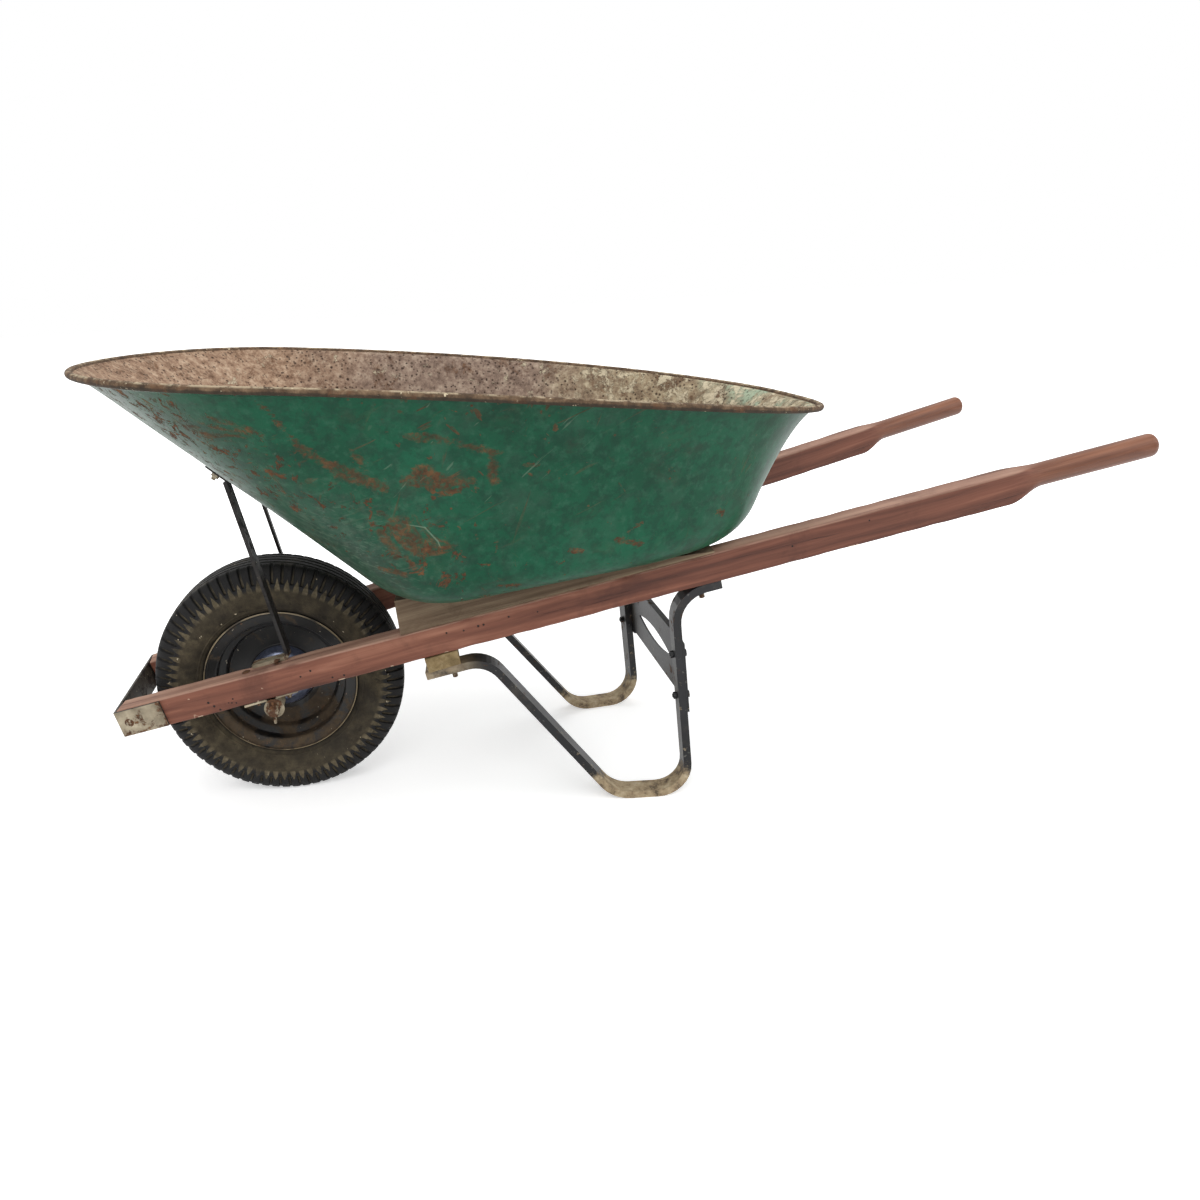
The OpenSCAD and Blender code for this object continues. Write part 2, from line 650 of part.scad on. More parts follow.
module nose_guard() {
    color(steel_rust) placed() difference() {
        union() {
            for (side = SIDES) on_side(side) on_left_handle() guard_side();
            translate([-nose_x, 0, nose_z]) rotate([0, -handle_rise, 0])
                translate([-handle_w / 2 * splay_s / rise_c * 1.0 - corner_gap - guard_t,
                           nose_corner_y, guard_mid_h - guard_h / 2])
                    cube([guard_t, -2 * nose_corner_y, guard_h]);
        }
        for (side = SIDES) on_side(side) on_left_handle()
            translate([guard_bolt_s, 0, guard_mid_h]) rotate([90, 0, 0])
                bolt_hole(small_bolt_r, 4 * handle_w);
    }
}

// ---------- axle brackets ----------

loop_gap = 0.25;

// The strap's path round the axle, measured from the axle and the handle's underside.
bracket_path = rounded([
    [-bracket_half, -seat_gap - bracket_t / 2, 0],
    [-4.2, -seat_gap - bracket_t / 2, 4],
    [-axle_r * 2.05, -axle_drop - axle_r - bracket_t / 2 - loop_gap, 8.6],
    [axle_r * 2.05, -axle_drop - axle_r - bracket_t / 2 - loop_gap, 8.6],
    [4.2, -seat_gap - bracket_t / 2, 4],
    [bracket_half, -seat_gap - bracket_t / 2, 0]], 8);

// The loop lies square to the axle, so the strap is turned back by the splay.
module left_axle_bracket_body() difference() {
    on_left_handle() translate([axle_s, 0, -handle_h]) rotate([0, 0, handle_splay])
        rotate([90, 0, 0]) translate([0, 0, -bracket_w / 2]) linear_extrude(height = bracket_w)
            polygon(strip(bracket_path, -bracket_t / 2, bracket_t / 2));
    for (s = bracket_bolts_s) on_left_handle() translate([s, 0, 0]) bolt_hole(small_bolt_r, 200);
    on_axle() cylinder(r = axle_r + 0.05, h = 600, center = true);
}

module left_axle_bracket() color(steel_rust) placed() left_axle_bracket_body();
module right_axle_bracket() color(steel_rust) placed() on_side(1) left_axle_bracket_body();

// ---------- axle ----------

module on_axle() translate([0, 0, axle_z]) rotate([90, 0, 0]) children();

handle_y = nose_y + axle_t * splay_s;          // middle of each handle above the axle
bracket_out_y = handle_y + bracket_w / 2 + 1.2;
bracket_in_y = handle_y - bracket_w / 2 - 1.2;
washer_t = 2.5;
axle_half = bracket_out_y + washer_t + 14;
cotter_y = bracket_out_y + washer_t + 6.2;
hub_half = rim_w / 2 + 4;                       // the bearings' outer faces

module axle() {
    color([0.5, 0.47, 0.42]) placed() on_axle() difference() {
        cylinder(r = axle_r, h = 2 * axle_half, center = true);
        for (k = SIDES) translate([0, 0, k * cotter_y]) rotate([90, 0, 0])
            cylinder(r = 2.1, h = 60, center = true, $fn = 24);
        for (k = SIDES) translate([0, 0, k * axle_half]) difference() {
            cylinder(r = axle_r + 1, h = 3, center = true);
            cylinder(r = axle_r - 1.2, h = 5, center = true);
        }
    }
}

module ring(r_in, r_out, h) difference() {
    cylinder(r = r_out, h = h);
    translate([0, 0, -1]) cylinder(r = r_in, h = h + 2);
}

module axle_spacers() {
    color(steel_rust) placed() on_axle() for (k = [0, 1]) mirror([0, 0, k])
        translate([0, 0, hub_half + 0.6]) ring(axle_r + 0.4, axle_r + 3.4, bracket_in_y - hub_half - 0.8);
}

module axle_washers() {
    color(steel_rust) placed() on_axle() for (k = [0, 1]) mirror([0, 0, k])
        translate([0, 0, bracket_out_y + 0.2]) ring(axle_r + 0.4, axle_drop - 1.2, washer_t - 0.4);
}

module axle_cotters() {
    color([0.5, 0.45, 0.38]) placed() on_axle() for (k = [0, 1]) mirror([0, 0, k])
        translate([0, 0, cotter_y]) rotate([90, 0, 0]) {
            cylinder(r = 1.8, h = 2 * axle_r + 12, center = true, $fn = 24);
            translate([0, 0, axle_r + 8]) rotate([0, 90, 0])
                rotate_extrude($fn = 48) translate([3.6, 0]) circle(r = 1.8, $fn = 24);
        }
}

// ---------- wheel ----------

seat_r = 101.6;                // bead seat of the rim, as a radius
well_r = 88;
tread_r = wheel_r;
side_y = tyre_w / 2;
grooves = [-21, -7, 7, 21];    // middles of the grooves between the ribs

// Half of the tyre's outer skin from the tread's edge to the bead, as [y, r].
tyre_side = [[33, tread_r - 2.2], [39, tread_r - 7], [42.5, tread_r - 15], [side_y - 3.2, 168],
    [side_y - 0.8, 159], [side_y, 149], [side_y - 1, 138], [side_y - 5.4, 127],
    [side_y - 9, flange_r + 3.2], [rim_w / 2 - 3.1, flange_r - 0.5], [rim_w / 2 - 3.7, flange_r - 4.5],
    [rim_w / 2 - 4, seat_r + 2.2], [rim_w / 2 - 6, seat_r + 0.3], [rim_w / 2 - 13, seat_r + 0.3],
    [rim_w / 2 - 15, seat_r + 2.4], [rim_w / 2 - 13.5, seat_r + 9]];
// The inside of the casing, from the bead up to the middle of the tread.
tyre_inside = [[rim_w / 2 - 11, 118], [side_y - 10, 133], [side_y - 8, 149], [side_y - 10, 163],
    [side_y - 16, 174], [20, 181], [0, 183]];

function across(list) = [for (p = list) [-p[0], p[1]]];
// One tread edge: ribs and grooves from the left shoulder to the right one.
tread_edge = [for (y = grooves) each [[y - 2.6, tread_r], [y - 1.6, tread_r - rib_depth],
    [y + 1.6, tread_r - rib_depth], [y + 2.6, tread_r]]];
tyre_section = concat(tread_edge, tyre_side, tyre_inside, reversed(across([for (i = [0 : 5])
    tyre_inside[i]])), reversed(across(tyre_side)));

module spun(points, steps = 128) rotate_extrude($fn = steps) polygon([for (p = points) [p[1], p[0]]]);

module tyre() color(rubber_grey) placed() on_axle() spun(tyre_section);

// The tube fills the casing down to the rim's barrel.
tube_out = [[0, 182.6], [19.6, 180.6], [31.6, 173.6], [37.6, 162.9], [39.6, 149], [37.6, 133.2],
    [26.6, 118.2], [22.2, 111], [20.6, 106], [12, 103], [0, 103]];
tube_in = [for (p = tube_out) [p[0] * 0.93, 143 + (p[1] - 143) * 0.93]];
valve_y = 7.5;

module inner_tube() {
    color(rubber_grey) placed() on_axle() difference() {
        spun(concat(tube_out, reversed(across([for (i = [1 : 9]) tube_out[i]]))));
        spun(concat(tube_in, reversed(across([for (i = [1 : 9]) tube_in[i]]))));
        valve_axis() translate([0, 0, 90]) cylinder(r = 4.1, h = 20, $fn = 32);
    }
}

// The valve leaves the tube off the middle and comes out through the right half.
module valve_axis() rotate([0, 0, 200]) translate([0, 0, -valve_y]) rotate([0, 90, 0]) children();

module valve_stem() {
    color([0.12, 0.12, 0.12]) placed() on_axle() valve_axis() {
        translate([0, 0, 66]) cylinder(r = 4, h = 41, $fn = 32);
        translate([0, 0, 58]) cylinder(r = 4.8, h = 9, $fn = 32);
        translate([0, 0, 106.6]) cylinder(r = 5.5, h = 2, $fn = 32);
    }
}

// Middle of one half's sheet, as [r, y], from the hub's neck to the flange's curled lip.
half_path = rounded([
    [hub_r + 0.1 + rim_wall / 2, rim_w / 2 + 1, 0],
    [hub_r + 0.1 + rim_wall / 2, rim_w / 2 - 9, 3],
    [hub_r + 13, rim_w / 2 - 11, 11],
    [45, 17, 12],
    [51, rim_wall / 2 + 0.1, 4],
    [well_r - 2, rim_wall / 2 + 0.1, 3],
    [well_r + 1, 13, 5],
    [seat_r - rim_wall / 2, 20, 4],
    [seat_r - rim_wall / 2, rim_w / 2 - 2.4, 3],
    [flange_r - 2, rim_w / 2 - 1.4, 2.5],
    [flange_r, rim_w / 2 + 2.2, 0]], 5);

// The two halves are spot-welded together at the flat web around the domes.
module rim_half() rotate_extrude($fn = 128) polygon(strip(half_path, -rim_wall / 2, rim_wall / 2));

module left_rim_half() color(steel_black) placed() on_axle() rim_half();

module right_rim_half() {
    color(steel_black) placed() on_axle() difference() {
        mirror([0, 0, 1]) rim_half();
        valve_axis() cylinder(r = 4.4, h = 120, $fn = 32);
    }
}

module hub_tube() {
    color(steel_black) placed() on_axle() difference() {
        cylinder(r = hub_r, h = 2 * hub_half, center = true);
        cylinder(r = hub_r - hub_wall, h = 2 * hub_half + 2, center = true);
    }
}

module bearing() translate([0, 0, hub_half - bearing_len])
    ring(axle_r + running_gap, hub_r - hub_wall - 0.02, bearing_len);

module left_bearing() color([0.6, 0.5, 0.3]) placed() on_axle() bearing();
module right_bearing() color([0.6, 0.5, 0.3]) placed() on_axle() mirror([0, 0, 1]) bearing();

// ---------- fasteners ----------

module nose_guard_bolts() {
    color(steel_rust) placed() for (side = SIDES) on_side(side) on_left_handle()
        translate([guard_bolt_s, -handle_w / 2 - corner_gap - guard_t - 0.1, guard_mid_h])
            rotate([90, 0, 0]) carriage_bolt(small_bolt_r, handle_w + guard_t + small_nut_h + 3);
}

module nose_guard_nuts() {
    color(steel_rust) placed() for (side = SIDES) on_side(side) on_left_handle()
        translate([guard_bolt_s, handle_w / 2 + 0.1, guard_mid_h]) rotate([-90, 0, 0])
            hex_nut(small_bolt_r, small_nut_h);
}

bracket_bolt_len = handle_h + bracket_t + small_nut_h + small_stub;
module bracket_bolts() {
    color(steel_rust) placed() for (side = SIDES) on_side(side) on_left_handle() {
        translate([bracket_bolts_s[0], 0, 0.1])
            carriage_bolt(small_bolt_r, bracket_bolt_len);
        translate([bracket_bolts_s[1], 0, foot_h + 0.1])
            carriage_bolt(small_bolt_r, bracket_bolt_len + foot_h);
    }
}

module bracket_nuts() {
    color(steel_rust) placed() for (side = SIDES) on_side(side) on_left_handle()
        for (s = bracket_bolts_s)
            translate([s, 0, -handle_h - 2 * seat_gap - bracket_t - small_nut_h])
                hex_nut(small_bolt_r, small_nut_h);
}

// The skin's inner face above the handle's top, where a tray bolt passes.
function inner_face_h(s) = (floor_z(-nose_x + s * rise_c * splay_c - wedge_h * rise_s * splay_c)
    - nose_z - s * rise_s) / rise_c + (tray_wall + 0.0) / cos(floor_tilt);

module tray_bolts() {
    color(steel_rust) placed() for (side = SIDES) on_side(side) on_left_handle() {
        for (b = [[front_bolt_s, drop_f, lift_front], [rear_bolt_s, drop_r, lift_rear]])
            translate([b[0], 0, inner_face_h(b[0]) + b[2]])
                carriage_bolt(bolt_r, inner_face_h(b[0]) + b[2] + handle_h + b[1] + nut_h + stub);
    }
}

// The rear nut stands a little off the start of the leg's bend.
nut_seat = 0.3;
rear_nut_seat = 1.6;
module tray_bolt_nuts() {
    color(steel_rust) placed() for (side = SIDES) on_side(side) on_left_handle()
        for (sd = [[front_bolt_s, drop_f + nut_seat], [rear_bolt_s, drop_r + rear_nut_seat]])
            translate([sd[0], 0, -handle_h - sd[1] - nut_h]) hex_nut(bolt_r, nut_h);
}

module leg_brace_bolts() {
    color(steel_rust) placed() for (side = SIDES) on_side(side) on_left_leg() brace_tab_places()
        translate([0, 0, leg_flange + seat_gap + brace_t + 0.3])
            hex_bolt(small_bolt_r, leg_flange + seat_gap + brace_t + small_nut_h + 2);
}

module leg_brace_nuts() {
    color(steel_rust) placed() for (side = SIDES) on_side(side) on_left_leg() brace_tab_places()
        translate([0, 0, -0.3 - small_nut_h]) hex_nut(small_bolt_r, small_nut_h);
}

module tray_brace_bolts() {
    color(steel_rust) placed() for (side = SIDES) on_side(side) on_brace_tab() mirror([0, 0, 1])
        translate([0, 0, tray_wall + 0.7])
            carriage_bolt(small_bolt_r, tray_wall + bar_t + small_nut_h + small_stub + 1.5);
}

module tray_brace_nuts() {
    color(steel_rust) placed() for (side = SIDES) on_side(side) on_brace_tab()
        translate([0, 0, 0.6 + bar_t + 0.1]) hex_nut(small_bolt_r, small_nut_h);
}

tray();
left_handle();
right_handle();
left_wedge();
right_wedge();
front_bolster();
left_leg();
right_leg();
leg_brace();
left_tray_brace();
right_tray_brace();
nose_guard();
left_axle_bracket();
right_axle_bracket();
axle();
axle_spacers();
axle_washers();
axle_cotters();
tyre();
inner_tube();
valve_stem();
left_rim_half();
right_rim_half();
hub_tube();
left_bearing();
right_bearing();
nose_guard_bolts();
nose_guard_nuts();
bracket_bolts();
bracket_nuts();
tray_bolts();
tray_bolt_nuts();
leg_brace_bolts();
leg_brace_nuts();
tray_brace_bolts();
tray_brace_nuts();
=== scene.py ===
"""Looks of the rusty wheelbarrow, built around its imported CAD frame."""
import math

import bpy
import bmesh
from mathutils import Matrix, Vector, noise


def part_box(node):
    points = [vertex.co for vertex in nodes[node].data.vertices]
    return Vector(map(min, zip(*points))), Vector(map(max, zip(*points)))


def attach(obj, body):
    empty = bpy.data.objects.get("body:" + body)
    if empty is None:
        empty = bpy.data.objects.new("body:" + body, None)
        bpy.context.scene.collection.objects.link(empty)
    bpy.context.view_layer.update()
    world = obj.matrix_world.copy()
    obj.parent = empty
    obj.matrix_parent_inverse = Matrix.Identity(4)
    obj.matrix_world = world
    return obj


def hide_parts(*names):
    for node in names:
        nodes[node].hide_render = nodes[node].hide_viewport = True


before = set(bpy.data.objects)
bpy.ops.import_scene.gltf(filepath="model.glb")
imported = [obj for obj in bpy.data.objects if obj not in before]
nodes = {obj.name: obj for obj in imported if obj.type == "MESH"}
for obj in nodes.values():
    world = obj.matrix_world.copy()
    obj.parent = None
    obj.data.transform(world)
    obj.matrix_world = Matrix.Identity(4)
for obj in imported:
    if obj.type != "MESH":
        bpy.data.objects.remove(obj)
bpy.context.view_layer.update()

MM = 0.001
AXLE = (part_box("axle")[0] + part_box("axle")[1]) / 2
OX = AXLE.x / MM
R = AXLE.z / MM

# ---------------------------------------------------------------- sizes shared with the CAD source, in mm
NOSE_X, NOSE_Y = 230, 94
RISE, SPLAY = math.radians(12), math.radians(5.28)
RS, RC, SS, SC = math.sin(RISE), math.cos(RISE), math.sin(SPLAY), math.cos(SPLAY)
HANDLE_W, HANDLE_H, HANDLE_LEN = 38, 44, 1524
GRIP_R, GRIP_START, SHOULDER = 16.5, 1366, 52
AXLE_DROP, SEAT_GAP = 16, 0.2
WEDGE_FRONT, WEDGE_H = 440, 54
NOSE_Z = R + (HANDLE_H + AXLE_DROP - NOSE_X / SC * RS) / RC
WEDGE_X = WEDGE_FRONT * RC * SC - NOSE_X - WEDGE_H * RS * SC
WEDGE_Z = NOSE_Z + WEDGE_FRONT * RS + WEDGE_H * RC


def srgb(r, g, b):
    def f(c):
        c /= 255
        return c / 12.92 if c <= 0.04045 else ((c + 0.055) / 1.055) ** 2.4
    return (f(r), f(g), f(b), 1.0)


def grey(v):
    return (v, v, v, 1.0)


# ---------------------------------------------------------------- marks on the object, in mm, axle at x = 0
RUST_MARKS = [
    ((258, -335, 618), (306, -329, 605), 2.6, 0.8),
    ((231, -327, 602), (284, -323, 594), 6, 0.75),
    ((284, -323, 594), (341, -314, 573), 6, 0.75),
    ((330, -314, 573), (331, -301, 542), 8, 0.8),
    ((223, -304, 548), (304, -302, 542), 7, 0.75),
    ((246, -308, 558), (269, -302, 543), 11, 0.9),
    ((258, -302, 543), (257, -295, 523), 3.5, 0.9),
    ((265, -297, 528), (291, -298, 533), 3.5, 0.9),
    ((320, -333, 612), (394, -318, 586), 2.6, 0.7),
    ((370, -307, 558), (392, -304, 553), 2.4, 0.8),
    ((501, -315, 598), (540, -309, 597), 3.6, 0.8),
    ((557, -307, 598), (568, -297, 584), 2.6, 0.8),
    ((540, -301, 580), (553, -298, 579), 4, 0.9),
    ((545, -298, 576), (551, -292, 565), 4.5, 0.9),
    ((492, -259, 443), (524, -253, 434), 4, 0.9),
    ((506, -261, 453), (524, -262, 463), 3, 0.8),
    ((429, -262, 435), (444, -260, 432), 1.8, 0.9),
    ((251, -284, 491), (264, -282, 486), 2.6, 0.9),
    ((331, -267, 442), (334, -272, 458), 2, 0.7),
    ((638, -232, 462), (645, -227, 459), 3.6, 1),
    ((561, -277, 530), (566, -275, 527), 3, 0.7),
    ((477, -270, 472), (483, -268, 468), 2.2, 0.9),
    ((206, -286, 495), (233, -272, 453), 7, 0.8),
    ((217, -269, 446), (227, -264, 430), 5, 0.9),
    ((183, -250, 432), (214, -258, 423), 5, 0.8),
    ((190, -281, 484), (206, -270, 451), 7, 0.7),
    ((240, -322, 592), (240, -297, 528), 1.3, 0.9),
    ((334, -249, 392), (365, -244, 388), 1.6, 0.9),
    ((370, -221, 374), (506, -217, 388), 2.2, 0.55),
    ((506, -217, 388), (647, -186, 405), 2.2, 0.55),
    ((191, -291, 511), (209, -286, 495), 2.4, 0.6),
    ((79, -347, 649), (112, -322, 597), 5, 0.8),
    ((112, -322, 597), (148, -313, 569), 8, 0.85),
    ((148, -313, 569), (199, -302, 543), 9, 0.75),
    ((46, -362, 670), (75, -350, 654), 3, 0.6),
    ((169, -321, 590), (181, -310, 564), 5, 0.6),
    ((205, -344, 635), (210, -327, 603), 2, 0.6),
]
LIGHT_MARKS = [
    ((209, -286, 495), (244, -282, 486), 1.2, 1),
    ((244, -282, 486), (259, -275, 465), 1.2, 1),
    ((259, -275, 465), (285, -239, 375), 1.0, 1),
]

HANDLE_HOLES = [  # nail holes on a handle's sides: along it, up from its top, radius, in mm
    (297, -17, 1.8), (280, -22, 1.6), (342, -36.8, 1.8), (324.6, -35.5, 1.6), (135.6, -24.8, 2.0),
    (141.8, -32.4, 2.0), (148.5, -40, 1.8), (168.8, -34.3, 1.3), (164, -32.9, 1.1), (175, -36, 1.4),
    (172.4, -28.6, 1.5), (505, -14, 1.6), (530, -17, 1.5), (552, -16, 1.9), (560, -16, 1.7), (598, -14, 1.6),
    (640, -18, 1.3), (1010, -20, 1.5), (1120, -12, 1.3),
]


# ---------------------------------------------------------------- material helper
class Mat:
    """A node material; values are numbers, colours or output sockets."""

    def __init__(self, name):
        self.mat = bpy.data.materials.new(name)
        self.mat.use_nodes = True
        self.nt = self.mat.node_tree
        self.bsdf = self.nt.nodes["Principled BSDF"]
        self.co = self.node("ShaderNodeTexCoord").outputs["Object"]

    def node(self, kind, **props):
        n = self.nt.nodes.new(kind)
        for k, v in props.items():
            setattr(n, k, v)
        return n

    def put(self, socket, v):
        if isinstance(v, bpy.types.NodeSocket):
            self.nt.links.new(v, socket)
        else:
            socket.default_value = v

    def mapped(self, v=None, loc=(0, 0, 0), rot=(0, 0, 0), scale=(1, 1, 1)):
        n = self.node("ShaderNodeMapping")
        self.put(n.inputs["Vector"], self.co if v is None else v)
        n.inputs["Location"].default_value = loc
        n.inputs["Rotation"].default_value = rot
        n.inputs["Scale"].default_value = scale
        return n.outputs["Vector"]

    def noise(self, scale, detail=5.0, rough=0.55, dist=0.0, v=None, colour=False):
        n = self.node("ShaderNodeTexNoise")
        self.put(n.inputs["Vector"], self.co if v is None else v)
        n.inputs["Scale"].default_value = scale
        n.inputs["Detail"].default_value = detail
        n.inputs["Roughness"].default_value = rough
        n.inputs["Distortion"].default_value = dist
        return n.outputs["Color" if colour else "Fac"]

    def voronoi(self, scale, v=None, feature="F1"):
        n = self.node("ShaderNodeTexVoronoi", feature=feature)
        self.put(n.inputs["Vector"], self.co if v is None else v)
        n.inputs["Scale"].default_value = scale
        n.inputs["Randomness"].default_value = 1.0
        return n.outputs["Distance"]

    def step(self, v, a, b, lo=0.0, hi=1.0):
        """Smooth step: lo below a, hi above b."""
        n = self.node("ShaderNodeMapRange", interpolation_type="SMOOTHSTEP")
        self.put(n.inputs["Value"], v)
        n.inputs["From Min"].default_value = a
        n.inputs["From Max"].default_value = b
        n.inputs["To Min"].default_value = lo
        n.inputs["To Max"].default_value = hi
        return n.outputs["Result"]

    def math(self, op, a, b=0.0):
        n = self.node("ShaderNodeMath", operation=op)
        self.put(n.inputs[0], a)
        self.put(n.inputs[1], b)
        return n.outputs[0]

    def mul(self, a, b):
        return self.math("MULTIPLY", a, b)

    def add(self, a, b):
        return self.math("ADD", a, b)

    def inv(self, a):
        return self.math("SUBTRACT", 1.0, a)

    def top(self, *vals):
        out = vals[0]
        for v in vals[1:]:
            out = self.math("MAXIMUM", out, v)
        return out

    def mix(self, fac, a, b, blend="MIX"):
        n = self.node("ShaderNodeMix", data_type="RGBA", blend_type=blend, clamp_factor=True)
        self.put(n.inputs[0], fac)
        self.put(n.inputs[6], a)
        self.put(n.inputs[7], b)
        return n.outputs[2]

    def mixf(self, fac, a, b):
        n = self.node("ShaderNodeMix", data_type="FLOAT", clamp_factor=True)
        self.put(n.inputs[0], fac)
        self.put(n.inputs[2], a)
        self.put(n.inputs[3], b)
        return n.outputs[0]

    def ramp(self, fac, stops):
        n = self.node("ShaderNodeValToRGB")
        el = n.color_ramp.elements
        while len(el) < len(stops):
            el.new(0.5)
        for e, (p, c) in zip(el, stops):
            e.position, e.color = p, c
        self.put(n.inputs["Fac"], fac)
        return n.outputs["Color"]

    def xyz(self, v=None):
        n = self.node("ShaderNodeSeparateXYZ")
        self.put(n.inputs[0], self.co if v is None else v)
        return n.outputs[0], n.outputs[1], n.outputs[2]

    def vec(self, op, a, b=(0, 0, 0)):
        n = self.node("ShaderNodeVectorMath", operation=op)
        self.put(n.inputs[0], a)
        self.put(n.inputs[1], b)
        return n.outputs["Value" if op in ("DOT_PRODUCT", "LENGTH", "DISTANCE") else "Vector"]

    def normal_z(self):
        n = self.node("ShaderNodeNewGeometry")
        return self.xyz(n.outputs["Normal"])[2]

    def attr(self, name):
        return self.node("ShaderNodeAttribute", attribute_name=name).outputs["Fac"]

    def bump(self, height, dist, strength=1.0):
        """Adds one bump, in metres, to those already on the shader."""
        n = self.node("ShaderNodeBump")
        n.inputs["Strength"].default_value = strength
        n.inputs["Distance"].default_value = dist
        self.put(n.inputs["Height"], height)
        s = self.bsdf.inputs["Normal"]
        if s.is_linked:
            self.nt.links.new(s.links[0].from_socket, n.inputs["Normal"])
        self.nt.links.new(n.outputs["Normal"], s)

    def finish(self, colour, rough, metal=0.0, **extra):
        self.put(self.bsdf.inputs["Base Color"], colour)
        self.put(self.bsdf.inputs["Roughness"], rough)
        self.put(self.bsdf.inputs["Metallic"], metal)
        for k, v in extra.items():
            self.put(self.bsdf.inputs[k.replace("_", " ")], v)
        return self.mat


# ---------------------------------------------------------------- materials
RUST_DARK, RUST_MID, RUST_ORANGE = srgb(50, 34, 26), srgb(88, 60, 42), srgb(118, 82, 54)
DIRT_TAN = srgb(142, 122, 92)


def rust_colour(m, scale=60.0):
    n = m.noise(scale, 8, 0.65)
    return m.ramp(n, [(0.25, RUST_DARK), (0.5, RUST_MID), (0.68, RUST_ORANGE), (0.85, srgb(150, 112, 78))])


def streaks(m, direction, scale, lo, hi, stretch=0.06, seed=(0, 0, 0)):
    """Long thin scratches along a direction given as Euler angles."""
    v = m.mapped(rot=direction, loc=seed)
    v = m.mapped(v, scale=(stretch, 1.0, 1.0))
    return m.step(m.noise(scale, 3, 0.5, 0.3, v), lo, hi)


